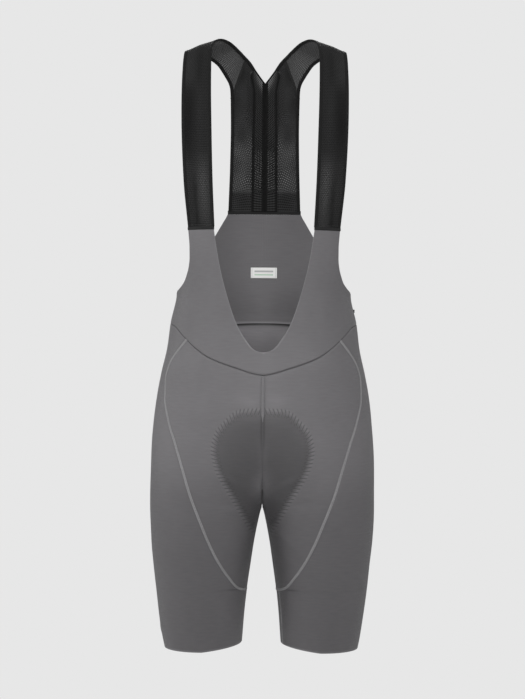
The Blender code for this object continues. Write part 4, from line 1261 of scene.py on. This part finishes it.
def back_lower():
    bottom = waist_places(waist_back_u)
    rise = 0.5 - 0.5 * np.cos(np.linspace(0, np.pi, BACK_COLUMNS + 1))
    top_heights = BACK_LOWER_TOP_SIDE + (BACK_LOWER_TOP_MIDDLE - BACK_LOWER_TOP_SIDE) * rise
    top = np.stack([waist_back_u, top_heights], axis=-1)
    side = straight_down(0.5, np.linspace(WAIST_SIDE, BACK_LOWER_TOP_SIDE, BACK_LOWER_ROWS + 1))
    middle = straight_down(1, np.linspace(WAIST_MIDDLE, BACK_LOWER_TOP_MIDDLE, BACK_LOWER_ROWS + 1))
    places = edge_rows(patch(bottom, top, side, middle), "bl")
    sheets = []
    for _, way in SIDES:
        points, inward, uvs, values = knit_sheet(places, way, "bl", middle=-1)
        # A painted highlight on the top edge.
        values["light"][-1] = 1.4
        sheets.append((points, inward, uvs, values))
    made = sew("back_lower_cloth", GREY_KNIT, sheets, KNIT)

    # Painted light on the inner face below the upper panel's loose edge, and a narrow painted shadow just
    # under it.
    def tone(place):
        below = float(overlap_height(1 - abs(place.x) / HALF_GIRTH)) - place.z
        lit = 1 + 1.30 * float(soft_step(below / 0.002)) * float(soft_step((0.075 - below) / 0.030))
        return lit * (1 - 0.90 * math.exp(-(((below - 0.0014) / 0.0019) ** 2)))

    shade_inside(made, [sheet[0] for sheet in sheets], tone)
    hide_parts("back_lower")
    declare_cut([sheet[0] for sheet in sheets])


def front_legs():
    top = waist_places(waist_front_u)
    split = len(flatlock) - 1 - FRONT_COLUMNS
    centre = joined(straight_down(0, rise_heights(WAIST_MIDDLE, RISE_ROWS)), straight_down(0, inseam))
    places = edge_rows(patch(top, flatlock[split:][::-1], centre, flatlock[: split + 1]), "btlr")
    for side, way in SIDES:
        sheet = knit_sheet(places, way, "btlr")
        made = sew(f"front_leg_{side}_cloth", GREY_KNIT, [sheet], KNIT)
        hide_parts(f"front_leg_{side}")
        declare_cut([sheet[0]])


def side_legs():
    top = joined(waist_places(waist_hip_u), waist_places(waist_back_u))
    left = joined(flatlock, straight_down(0, lower_inseam))
    centre_back = straight_down(1, rise_heights(WAIST_MIDDLE, CENTRE_BACK_ROWS))
    right = joined(centre_back, straight_down(1, inseam), straight_down(1, lower_inseam))
    hem_u = np.linspace(0, 1, len(top))
    bottom = np.stack([hem_u, hem_height(hem_u)], axis=-1)
    places = edge_rows(patch(top, bottom, left, right), "blr")
    for side, way in SIDES:
        points, inward, uvs, values = knit_sheet(places, way, "blr")
        # A painted highlight on the hem's edge.
        values["light"][-1] = 1.25
        made = sew(f"side_leg_{side}_cloth", GREY_KNIT, [(points, inward, uvs, values)], KNIT)
        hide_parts(f"side_leg_{side}")
        declare_cut([points])


# ---------------------------------------------------------------- seams on the knit


def leg_seams():
    """Flat seams with their threads on each leg: the flatlock seam, and the inseam below and above its end."""
    for side, way in SIDES:
        line = resampled(flatlock, way)
        path, out = run_on_cloth(line, way, 0.0)
        path = path + out * 0.0001
        sweep(f"flatlock_{side}", FLAT_SEAM, path, out, strip_section(0.0020, 0.0005, 0.0006))
        inseam_u = INSEAM_TURN if side == "left" else 0.0
        lower = resampled(straight_down(inseam_u, np.linspace(FLATLOCK_END, lower_inseam[-1], 30)), way)
        low_path, low_out = run_on_cloth(lower, way, 0.0)
        low_section = strip_section(0.0014, 0.0004, 0.0006)
        sweep(f"inseam_{side}", FLAT_SEAM, low_path, low_out, low_section)
        upper = resampled(straight_down(0, np.linspace(CROTCH - 0.004, FLATLOCK_END, 40)), way)
        up_path, up_out = run_on_cloth(upper, way, 0.0)
        up_section = strip_section(0.0013, 0.0003, 0.0006)
        sweep(f"upper_inseam_{side}", CENTRE_BAND, up_path, up_out, up_section)
        runs = stitch_runs(path, out, (-0.0015, 0.0015), 0.0026, 0.00052, 0.00025)
        runs.append(zigzag_run(path, out, 0.0014, 0.0016, 0.00048))
        runs += stitch_runs(low_path, low_out, (0.0,), 0.0026, 0.00050, 0.0002)
        threads(f"flatlock_threads_{side}", GREY_THREAD, "grey_knit", runs, 0.00016)


def plain_knit(piece, light):
    """Gives a strip the values that the knit's finish reads: how light it is, and no stitches on it."""
    for name, value in (("light", light), ("rim_reach", 0.03), ("rim_along", 0.0)):
        column = piece.data.attributes.new(name, "FLOAT", "POINT")
        column.data.foreach_set("value", np.full(len(piece.data.vertices), value))


def crotch_seam():
    """The centre seam's allowance, which runs under the crotch, and the fold that lies over it in front."""
    down = rise_heights(SEAM_BAND_END, 30)
    under = joined(straight_down(0, down), straight_down(1, down[::-1]))
    out = -form_inward(under[:, 0], under[:, 1])
    out[:, 0] = 0.0
    out[len(down) - 1] = (0.0, 0.0, -1.0)
    out = unit(out)
    path = form_point(under[:, 0], under[:, 1]) - out * 0.0003
    path[:, 0] = 0.0
    section = strip_section(0.0018, 0.0002, 0.0008)
    # The allowance and the fold strip are darker, like the knit over the insert: partly the dark pad seen
    # through it, partly painted shade.
    plain_knit(sweep("crotch_seam_allowance", GREY_KNIT, path, out, section), 0.44)
    line = resampled(straight_down(0, np.linspace(SEAM_BAND_END + 0.006, CROTCH + 0.002, 60)), LEFT)
    path, out = run_on_cloth(line, LEFT, 0.0)
    raised = 0.0012 * soft_step((-0.615 - path[:, 2]) / 0.030) - 0.0003
    path = path + out * raised[:, None]
    path[:, 0] = 0.0
    out[:, 0] = 0.0
    section = strip_section(0.0013, 0.0001, 0.0010)
    plain_knit(sweep("front_seam_fold", GREY_KNIT, path, out, section), 0.56)


def centre_front_seam():
    """The flat band on the centre front seam, which runs out towards its lower end, and its stitches."""
    front = resampled(straight_down(0, np.linspace(WAIST_MIDDLE - 0.001, SEAM_BAND_END, 60)), LEFT)
    path, out = run_on_cloth(front, LEFT, 0.0)
    path[:, 0] = 0.0
    out[:, 0] = 0.0
    fade = 0.15 + 0.85 * soft_step(np.linspace(5, 0, len(path)))
    section = strip_section(0.0024, 0.0005, 0.0006)
    sweep("centre_front_band", CENTRE_BAND, path, out, section, fade)
    shorter = len(path) * 4 // 5
    runs = stitch_runs(path[:shorter], out[:shorter], (-0.0031, 0.0031), 0.0026, 0.00030, 0.0001)
    threads("centre_front_threads", KNIT_THREAD, "grey_knit", runs, 0.00016)


# ---------------------------------------------------------------- the insert


def chamois():
    """The padded insert: rows run from its front end under the crotch to its back, columns from its middle."""
    shares = np.linspace(0, 1, PAD_COLUMNS + 1)
    halves = []
    for rim, behind in ((PAD_FRONT_RIM, False), (PAD_BACK_RIM, True)):
        edge = on_form(even_points(rim, PAD_ROWS), behind)
        edge[-1, 0] = 1.0 if behind else 0.0
        middle = straight_down(1 if behind else 0, rise_heights(rim[0][1], PAD_ROWS))
        edge[0] = middle[0]
        edge[0, 0] += -0.10 if behind else 0.10
        halves.append(middle[:, None] * (1 - shares)[None, :, None] + edge[:, None] * shares[None, :, None])
    places = np.concatenate([halves[0], halves[1][::-1][1:]])
    rows = len(places)
    towards_fold = np.clip(1 - np.abs(np.arange(rows) - PAD_ROWS) / (0.4 * PAD_ROWS), 0, 1)
    stand_off = KNIT + PAD_CLEAR + PAD_CROTCH_RISE * soft_step(towards_fold)
    from_ends = np.minimum(np.arange(rows), np.arange(rows)[::-1]) / (0.35 * PAD_ROWS)
    fullness = soft_step(np.minimum(1, from_ends))[:, None] * (1 - shares**4)[None, :]
    down_it = np.linspace(0, 1, rows)[:, None]
    channels = np.exp(-((shares[None, :] / 0.07) ** 2)) * soft_step(np.minimum(down_it, 1 - down_it) / 0.12)
    for centre, wide in ((0.42, 0.045), (0.74, 0.045)):
        swing = centre + 0.07 * np.sin(2 * np.pi * down_it)
        channels = channels + 0.75 * np.exp(-(((shares[None, :] - swing) / wide) ** 2))
    thickness = PAD_RIM + (PAD_MIDDLE - PAD_RIM) * fullness * (1 - 0.62 * np.clip(channels, 0, 1))
    # Painted shade in the channels, and painted light on the pad between them.
    light = np.broadcast_to(1.15 - 0.45 * np.clip(channels, 0, 1), thickness.shape).copy()
    sheets = []
    for _, way in SIDES:
        inward = cloth_inward(places, way)
        inward[:, 0, 0] = 0.0
        inward[PAD_ROWS, 0] = (0.0, 0.0, 1.0)
        inward[:, 0] = unit(inward[:, 0])
        points = form_point(places[..., 0], places[..., 1]) * np.array((way, 1.0, 1.0))
        points = points + stand_off[:, None, None] * inward
        points[:, 0, 0] = 0.0
        sheets.append((points, inward, flat_uvs(points), {"light": light}))
    made = sew("chamois_pad", PAD_FACE, sheets, thickness)
    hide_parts("chamois")


# ---------------------------------------------------------------- straps and racer back


def free_inward(points, towards):
    """Inward directions of a grid that doesn't lie on the form: square to it, on the side of a point."""
    normal = unit(np.cross(np.gradient(points, axis=0), np.gradient(points, axis=1)))
    flip = np.einsum("...c,...c->...", normal, np.asarray(towards, float) - points) < 0
    normal[flip] *= -1
    return normal


def strap_grid(rows=110, columns=14):
    """The strap's cloth, from its foot to the racer seam: rows run along it, columns from its inner edge."""
    foot = STRAP_FOOT + STRAP_END_TALL + 2 * SEAM_GAP
    inner_foot = form_point(u_at(STRAP_FOOT_INNER, STRAP_FOOT), STRAP_FOOT)
    outer_foot = form_point(u_at(STRAP_FOOT_OUTER, STRAP_FOOT), STRAP_FOOT)
    inner_foot[2] = outer_foot[2] = foot
    edges = even_points([(*inner_foot, *outer_foot), *STRAP], rows)
    across = np.linspace(0, 1, columns + 1)[None, :, None]
    return edges[:, None, :3] * (1 - across) + edges[:, None, 3:] * across


def strap_relief(shape, side):
    """Soft lengthwise folds, which leave the edges and the two ends alone."""
    along = np.linspace(0, 1, shape[0])[:, None]
    across = np.linspace(0, 1, shape[1])[None, :]
    out = np.zeros(shape)
    for which, centre, start, stop, wide, rise in STRAP_FOLDS:
        if (which == "left") == (side > 0):
            share = np.clip((along - start) / (stop - start), 0, 1)
            wander = centre + 0.08 * np.sin(5 * share + 9 * centre)
            out = out + rise * np.exp(-(((across - wander) / wide) ** 2)) * np.sin(np.pi * share) ** 0.7
    crown = 0.0012 * (1 - (2 * across - 1) ** 2)
    inside = soft_step(across / 0.16) * soft_step((1 - across) / 0.16)
    ends = soft_step(along / 0.02) * soft_step((1 - along) / 0.03)
    return (out * inside + crown) * ends


def strap_tones(base):
    """How light the strap's cloth is, and how far its holes are open: more so behind the shoulder."""
    across = np.linspace(0, 1, base.shape[1])[None, :]
    up = (base[..., 2] - STRAP_FOOT) / -STRAP_FOOT
    behind = soft_step((base[..., 1] - 0.004) / 0.022)
    light = np.full(base.shape[:2], 0.20)
    # Painted light and shade of the strap's folds.
    for centre, wide, start, stop, change in STRAP_TONES:
        share = np.clip((up - start) / (stop - start), 0, 1)
        light = light + change * np.exp(-(((across - centre) / wide) ** 2)) * np.sin(np.pi * share) ** 0.7
    light = 0.82 * light * (1 - behind) + 0.97 * behind
    lower = np.exp(-(((across - 0.32) / 0.26) ** 2)) * soft_step((0.46 - up) / 0.20)
    return np.maximum(light, 0.03), np.clip(0.12 + 0.52 * lower + 0.50 * behind, 0, 1)


def edge_frame(points, inward, column, inside):
    """A cloth edge as a path, with directions into the cloth and out of its face."""
    path = points[:, column]
    into = unit(points[:, inside] - path)
    return path, into, -inward[:, column]


def binding(name, path, into, out, fold=BINDING_WIDE, thick=0.0007, wall=MESH):
    """A narrow strip folded over a mesh edge, with its two faces reaching in over the cloth."""
    along = unit(np.gradient(path, axis=0))
    out = unit(out - (out * along).sum(-1, keepdims=True) * along)
    across = np.cross(along, out)
    facing = np.sign((across * into).sum(-1).mean())
    front, back = thick, -(wall + thick)
    middle = (front + back) / 2
    section = [(-0.0007, front * 0.55 + middle * 0.45), (0.0, front), (fold * 0.45, front * 1.12),
               (fold * 0.9, front),
               (fold, 0.0002), (fold, -(wall + 0.0002)), (fold * 0.9, back), (0.0, back),
               (-0.0007, back * 0.55 + middle * 0.45), (-0.0010, middle)]
    section = [(facing * a, b) for a, b in section]
    return sweep(name, BINDING, path, out, section)


def straps():
    """The mesh straps. Returns each strap's points and inward directions, for the trims along its edges."""
    grids = {}
    for side, way in SIDES:
        flip = np.array((way, 1.0, 1.0))
        base = set_back(strap_grid(), "t", STRAP_SEAM_GAP / 2)
        inward = free_inward(base, (0.10, 0.0, -0.20))
        points = (base - inward * strap_relief(base.shape[:2], way)[..., None]) * flip
        inward = inward * flip
        light, holes = strap_tones(base)
        sheet = (points, inward, flat_uvs(points, middle=True), {"light": light, "open": holes})
        made = sew(f"strap_{side}_mesh", STRAP_MESH, [sheet], MESH)
        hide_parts(f"strap_{side}")
        grids[side] = (made, points, inward)
    return grids


def strap_ends():
    """The stitched band at each strap's foot, with two close rows of stitches just above it."""
    made_ends = {}
    x = np.linspace(STRAP_FOOT_INNER - 0.0006, STRAP_FOOT_OUTER + 0.0006, 20)
    row = form_point(u_at(x, STRAP_FOOT), STRAP_FOOT)
    heights = STRAP_FOOT + SEAM_GAP / 2 + np.array((-0.15, 0.10, 0.5, 0.95, 1.25)) * STRAP_END_TALL
    swell = np.array((0.0003, 0.0006, 0.0007, 0.0006, 0.0003))
    for side, way in SIDES:
        flip = np.array((way, 1.0, 1.0))
        points = np.stack([row] * len(heights))
        points[..., 2] = heights[:, None]
        inward = free_inward(points, (0.0, 0.0, STRAP_FOOT))
        points = (points - inward * swell[:, None, None]) * flip
        sheet = (points, inward * flip, flat_uvs(points)[..., ::-1], {"light": np.ones(points.shape[:2])})
        made = sew(f"strap_end_{side}_band", BAND, [sheet], TRIM)
        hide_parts(f"strap_end_{side}")
        above = row.copy()
        above[:, 2] = STRAP_FOOT + STRAP_END_TALL + 0.0030
        above[:, 1] += 0.0002
        out = -free_inward(np.stack([row, row + np.array((0, 0, 0.01))]), (0.0, 0.0, STRAP_FOOT))[0]
        runs = stitch_runs(above * flip, out * flip, (-0.0006, 0.0006), 0.0024, 0.0005, 0.0001)
        stitching = threads(f"strap_end_{side}_stitches", SOFT_THREAD, "black_trim", runs, 0.00018)
        made_ends[side] = [made, stitching]
    return made_ends


def finer(points, times):
    """More points, spread evenly on the straight runs between some points."""
    points = np.asarray(points, float)
    at = np.linspace(0, len(points) - 1, (len(points) - 1) * times + 1)
    return spread(points, np.arange(len(points)), at)


def racer_grid(rows=64):
    """Half of the racer back: rows run down it, columns from the centre seam out.

    Its first columns are as wide as half the tape, and the next ones as wide as a lining strip.
    """
    neck = np.array(RACER_NECK[::-1])
    over_tape = np.linspace(0, TAPE_HALF, TAPE_COLUMNS + 1)
    over_strip = np.linspace(0, 1, STRIP_COLUMNS + 1)[1:]
    top_x = np.concatenate([over_tape, TAPE_HALF + STRIP_TOP_WIDE * over_strip])
    foot_x = np.concatenate([over_tape, TAPE_HALF + STRIP_FOOT_WIDE * over_strip])
    neck = np.stack([smooth_through(neck[:, 0], neck[:, c], top_x) for c in range(3)], axis=-1)
    seam = strap_grid(22, 3)[-1]
    top = np.concatenate([neck[:-1], finer(np.stack([neck[-1], seam[0]]), 4)[:-1], finer(seam, 6)])
    side, middle = even_points(RACER_SIDE, rows), even_points(RACER_MIDDLE, rows)
    side[0], middle[0] = top[-1], top[0]
    beyond = np.linspace(foot_x[-1] / BAND_HALF, 1.0, len(top) - len(foot_x) + 1)[1:]
    share = np.concatenate([foot_x / BAND_HALF, beyond])
    bottom = middle[-1] + (side[-1] - middle[-1]) * share[:, None]
    return patch(top, bottom, middle, side, share)


def strip_width(down):
    down_rows, widths = zip(*STRIP_SHAPE)
    return np.interp(down, down_rows, widths)


def strip_top(across):
    """The share of the way down at which the lining strip starts, for each share of its width."""
    return STRIP_CORNER[1] * np.clip((across - STRIP_CORNER[0]) / (1 - STRIP_CORNER[0]), 0, 1)


def sampled(grid, rows, columns):
    """A grid's values at places between its rows and columns."""
    r = np.clip(rows.astype(int), 0, grid.shape[0] - 2)
    c = np.clip(columns.astype(int), 0, grid.shape[1] - 2)
    s, t = (rows - r), (columns - c)
    if grid.ndim == 3:
        s, t = s[..., None], t[..., None]
    above = grid[r, c] * (1 - t) + grid[r, c + 1] * t
    below = grid[r + 1, c] * (1 - t) + grid[r + 1, c + 1] * t
    return above * (1 - s) + below * s


def ladder_opening(height):
    """How far the lining's ladder of holes has begun at a height, and how far its holes are open there."""
    one_layer = soft_step((height - RACER_DOUBLING) / 0.006)
    in_ladder = soft_step((LADDER_TOP - height) / 0.030) * soft_step((height - LADDER_FOOT) / 0.012)
    faint = 0.16 * soft_step((-0.070 - height) / 0.02) * one_layer
    return in_ladder, np.maximum(0.55 * in_ladder, faint)


def racer_values(base):
    """A racer half's values: how light it is, how open its holes are, and where a lining strip lies on it."""
    x, height = base[..., 0], base[..., 2]
    one_layer = soft_step((height - RACER_DOUBLING) / 0.006)
    row_count, column_count = base.shape[:2]
    down_it = np.clip(np.arange(row_count) - 1, 0, None)[:, None] / (row_count - 2)
    over_strip = (np.arange(column_count)[None, :] - TAPE_COLUMNS) / (STRIP_COLUMNS * strip_width(down_it))
    lined = ((over_strip >= 0) & (over_strip <= 0.88) & (down_it >= strip_top(over_strip))).astype(float)
    waves = 0.05 * np.sin(130 * height + 70 * x) + 0.04 * np.sin(260 * x - 60 * height)
    mottled = 0.30 + 0.20 * soft_step((-0.120 - height) / 0.04) + waves
    uncovered = mottled * one_layer * (1 - lined) + ladder_opening(height)[1] * lined
    cloudy = 1 + 0.25 * np.sin(95 * height + 50 * x) * np.sin(160 * x - 38 * height)
    light = (0.46 + 0.46 * soft_step((-0.100 - height) / 0.060)) * cloudy
    light = light * (0.62 + 0.38 * one_layer) * (1 - 0.45 * lined)
    return {"light": light, "open": uncovered, "lined": lined}


def lining_strip(lifted, inward, uvs, height):
    """The sheet of a lining strip, which lies on the racer half's own grid."""
    row_count = len(lifted)
    across = np.linspace(0, 1, 13)[None, :]
    strip_down = strip_top(across) + (1 - strip_top(across)) * np.linspace(0, 1, row_count)[:, None]
    rows = 1 + strip_down * (row_count - 2)
    columns = TAPE_COLUMNS + STRIP_COLUMNS * across * strip_width(strip_down)
    in_ladder, opening = ladder_opening(height)
    edge_shade = 1 - 0.90 * soft_step((across - 0.70) / 0.10)
    glint = 1.60 * np.exp(-((strip_down / 0.055) ** 2)) * np.exp(-((across / 0.50) ** 2))
    light = (0.18 - 0.11 * sampled(in_ladder, rows, columns)) * edge_shade + glint
    values = {"light": light, "open": sampled(opening, rows, columns) * edge_shade}
    return sampled(lifted, rows, columns), sampled(inward, rows, columns), sampled(uvs, rows, columns), values


def racer_back():
    """The two mesh halves, and on the wearer's side of them the centre tape and the two lining strips."""
    base = racer_grid()
    points = set_back(base, "l")
    points[0, NECK_COLUMNS:] = set_back(base, "b", STRAP_SEAM_GAP / 2)[0, NECK_COLUMNS:]
    inward = free_inward(points, (0.0, 0.0, -0.15))
    inward[:, 0, 0] = 0.0
    lifted = base + (MESH + SEAM_GAP) * inward
    uvs = flat_uvs(points)
    half_values = racer_values(base)
    strip_points, strip_inward, strip_uvs, strip_values = lining_strip(lifted, inward, uvs, base[..., 2])
    tape = np.s_[:, : TAPE_COLUMNS + 1]
    tape_points, tape_uvs = lifted[tape], flat_uvs(lifted[tape])
    tape_values = {"light": np.ones(tape_points.shape[:2])}
    pieces, tape_sheets = {}, []
    for side, way in SIDES:
        flip = np.array((way, 1.0, 1.0))
        sheet = (points * flip, inward * flip, uvs, half_values)
        half = sew(f"racer_{side}_mesh", RACER_MESH, [sheet], MESH)
        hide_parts(f"racer_{side}")
        sheet = (strip_points * flip, strip_inward * flip, strip_uvs, strip_values)
        lining = sew(f"racer_strip_{side}_mesh", STRIP_MESH, [sheet], MESH)
        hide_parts(f"racer_strip_{side}")
        declare_cut([strip_points])
        tape_sheets.append((tape_points * flip, inward[tape] * flip, tape_uvs * flip[:2], tape_values))
        pieces[side] = (half, points * flip)
    made = sew("racer_centre_tape", TAPE, tape_sheets, TRIM)
    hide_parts("racer_tape")
    return pieces, points, inward, made


def racer_band():
    x = np.linspace(-BAND_HALF - 0.0012, BAND_HALF + 0.0012, 41)
    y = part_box("racer_band")[1][1] - 0.0012 * (x / BAND_HALF) ** 2
    foot = BAND_TOP - BAND_TALL
    heights = (BAND_TOP + 0.0008, BAND_TOP - 0.0006, BAND_TOP - BAND_TALL / 2, foot + 0.0010, foot)
    points = np.stack([np.stack([x, y, np.full_like(x, z)], axis=-1) for z in heights])
    inward = np.zeros_like(points)
    inward[..., 1] = -1.0
    sheet = (points, inward, flat_uvs(points)[..., ::-1], {"light": np.ones(points.shape[:2])})
    made = sew("racer_band_strip", BAND, [sheet], TRIM)
    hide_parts("racer_band")
    return made


def bindings(strap_grids, racer_points, racer_inward):
    """Folded strips along the straps' edges, which run on round the racer back's neck and its sides."""
    made = {"left": [], "right": []}
    neck_path = racer_points[0, : NECK_COLUMNS + 1]
    neck_into = unit(racer_points[3, : NECK_COLUMNS + 1] - neck_path)
    neck_out = -racer_inward[0, : NECK_COLUMNS + 1]
    side_path = racer_points[:, -1]
    side_into = unit(racer_points[:, -4] - side_path)
    side_out = -racer_inward[:, -1]
    for side, way in SIDES:
        flip = np.array((way, 1.0, 1.0))
        _, points, inward = strap_grids[side]
        for edge, column, inside, more_path, more_into, more_out in (
            ("inner", 0, 2, neck_path[::-1], neck_into[::-1], neck_out[::-1]),
            ("outer", -1, -3, side_path, side_into, side_out),
        ):
            path, into, out = edge_frame(points, inward, column, inside)
            path = np.concatenate([path[:-1], more_path[1:] * flip])
            into = np.concatenate([into[:-1], more_into[1:] * flip])
            out = np.concatenate([out[:-1], more_out[1:] * flip])
            if edge == "inner":
                path[-1, 0] = 0.0
            made[side].append(binding(f"binding_{edge}_{side}", path, into, out))
        under = -MESH - 0.0003
        cover = [(-0.0016, 0.0002), (0.0, 0.0005), (0.0016, 0.0002), (0.0016, under), (-0.0016, under)]
        seam = racer_grid()[0, NECK_COLUMNS:] * flip
        made[side].append(sweep(f"racer_seam_{side}", SEAM_COVER, seam,
                                -racer_inward[0, NECK_COLUMNS:] * flip, cover))
    return made


# ---------------------------------------------------------------- small trim


def label():
    x = np.linspace(-LABEL_WIDE / 2, LABEL_WIDE / 2, 15)
    z = LABEL_MIDDLE + np.linspace(-0.5, 0.5, 7) * LABEL_TALL
    heights, widths = np.meshgrid(z, x, indexing="ij")
    places = np.stack([u_at(np.abs(widths), heights, behind=True), heights], axis=-1)
    flip = np.stack([np.where(widths < 0, -1.0, 1.0), np.ones_like(widths), np.ones_like(widths)], axis=-1)
    inward = form_inward(places[..., 0], places[..., 1]) * flip
    inset = 2 * KNIT + LOOSE_GAP + 2 * SEAM_GAP + 0.0004 * np.cos(np.pi * widths / LABEL_WIDE) ** 2
    points = form_point(places[..., 0], places[..., 1]) * flip + inset[..., None] * inward
    uvs = np.stack([-widths, heights - LABEL_MIDDLE], axis=-1)
    sheet = (points, inward, uvs, {"light": np.ones(points.shape[:2])})
    made = sew("woven_label", WHITE_SATIN, [sheet], 0.0007)
    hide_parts("label")
    declare_cut([points])


def side_tab():
    """A tiny folded loop caught in the left side seam."""
    x_side = float(form_column("outer", TAB_MIDDLE)) - 0.0010
    turn = np.linspace(-np.pi / 2, np.pi / 2, 9)
    round_end = TAB_THICK / 2
    outer_loop = [(TAB_OUT - round_end + round_end * math.cos(a), round_end * math.sin(a)) for a in turn]
    section = [(0.0, -round_end)] + outer_loop + [(0.0, round_end)]
    path = np.array([(x_side, 0.0, TAB_MIDDLE + s * TAB_TALL) for s in (-0.5, -0.45, -0.2, 0.2, 0.45, 0.5)])
    out = np.tile(np.array((0.0, -1.0, 0.0)), (len(path), 1))
    made = sweep("side_seam_tab", BAND, path, out, section)
    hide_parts("side_tab")


# ---------------------------------------------------------------- light, floor and camera


DOME_ABOVE, DOME_BELOW = 0.46, 0.08  # how strong the surround's soft light is from above and from below


def backdrop():
    """A pale round floor well below the hems, and a plain pale surround."""
    bm = bmesh.new()
    bmesh.ops.create_circle(bm, cap_ends=True, radius=4.6, segments=96)
    bmesh.ops.translate(bm, verts=bm.verts, vec=(0.0, 0.0, -2.0))
    mesh = bpy.data.meshes.new("pale_floor")
    bm.to_mesh(mesh)
    bm.free()
    made, tree, shader = finish_named("pale_floor_finish", 0.95, 0.0, 0.1)
    place = shader_node(tree, "ShaderNodeTexCoord").outputs["Object"]
    speckle = noise(tree, place, 6.0, 2.0)
    tree.links.new(mixed(tree, speckle, (0.78, 0.78, 0.78, 1), (0.80, 0.80, 0.80, 1)), shader["Base Color"])
    mesh.materials.append(made)
    floor = bpy.data.objects.new("pale_floor", mesh)
    bpy.context.scene.collection.objects.link(floor)
    world = bpy.data.worlds.new("pale_surround")
    bpy.context.scene.world = world
    world.use_nodes = True
    tree = world.node_tree
    seen = shader_node(tree, "ShaderNodeBackground", {}, {"Color": (1, 1, 1, 1), "Strength": 0.799})
    lit = tree.nodes["Background"]
    lit.inputs["Color"].default_value = (1, 1, 1, 1)
    height = axes(tree, shader_node(tree, "ShaderNodeTexCoord").outputs["Generated"])[2]
    tree.links.new(ramp(tree, height, -0.9, 0.9, DOME_BELOW, DOME_ABOVE), lit.inputs["Strength"])
    camera_ray = shader_node(tree, "ShaderNodeLightPath").outputs["Is Camera Ray"]
    sources = {0: camera_ray, 1: lit.outputs[0], 2: seen.outputs[0]}
    both = shader_node(tree, "ShaderNodeMixShader", {}, sources)
    tree.links.new(both.outputs[0], tree.nodes["World Output"].inputs["Surface"])


def aim(made, at):
    way = made.location - at
    made.rotation_mode = "QUATERNION"
    made.rotation_quaternion = way.to_track_quat("Z", "Y")


def soft_light(name, place, at, size, power):
    data = bpy.data.lights.new(name, "AREA")
    data.shape = "RECTANGLE"
    data.size, data.size_y = size
    data.energy = power
    made = bpy.data.objects.new(name, data)
    made.location = Vector(place)
    made.visible_camera = False
    bpy.context.scene.collection.objects.link(made)
    aim(made, Vector(at))


def light_and_camera():
    soft_light("near_softbox", (0.01, -0.70, -0.43), (0, 0, -0.47), (0.40, 0.24), 1.48)
    soft_light("high_softbox", (0.20, -1.5, 1.5), (0, 0, -0.45), (1.4, 1.0), 11)
    soft_light("front_softbox", (0.0, -3.3, -0.1), (0, 0, -0.45), (2.2, 1.8), 3)
    soft_light("left_softbox", (-2.4, -0.45, 0.15), (0, 0, -0.5), (0.9, 1.4), 25)
    soft_light("right_softbox", (2.2, -1.0, 0.4), (0, 0, -0.5), (0.9, 1.4), 9)
    soft_light("back_softbox", (0.0, 2.4, 1.2), (0, 0, -0.5), (1.6, 1.4), 34)
    soft_light("inner_fill", (0.0, -0.050, -0.485), (0, 0.12, -0.47), (0.12, 0.05), 0.022)
    data = bpy.data.cameras.new("front_camera")
    data.sensor_width = 36.0
    data.lens = 89.7
    camera = bpy.data.objects.new("front_camera", data)
    camera.location = (-0.0012, -2.70, -0.472)
    camera.rotation_euler = (math.radians(90), math.radians(-0.44), 0.0)
    bpy.context.scene.collection.objects.link(camera)
    bpy.context.scene.camera = camera
    bpy.context.scene.view_settings.view_transform = "Standard"


# ---------------------------------------------------------------- the whole garment


def build():
    light_and_camera()
    backdrop()
    bib_front()
    back_lower()
    back_upper()
    front_legs()
    side_legs()
    leg_seams()
    crotch_seam()
    centre_front_seam()
    chamois()
    strap_grids = straps()
    ends = strap_ends()
    halves, racer_points, racer_inward, tape = racer_back()
    band = racer_band()
    edges = bindings(strap_grids, racer_points, racer_inward)
    for side, _ in SIDES:
        made, points, _ = strap_grids[side]
        declare_cut([points])
        half, half_points = halves[side]
        declare_cut([half_points])
    label()
    side_tab()


build()
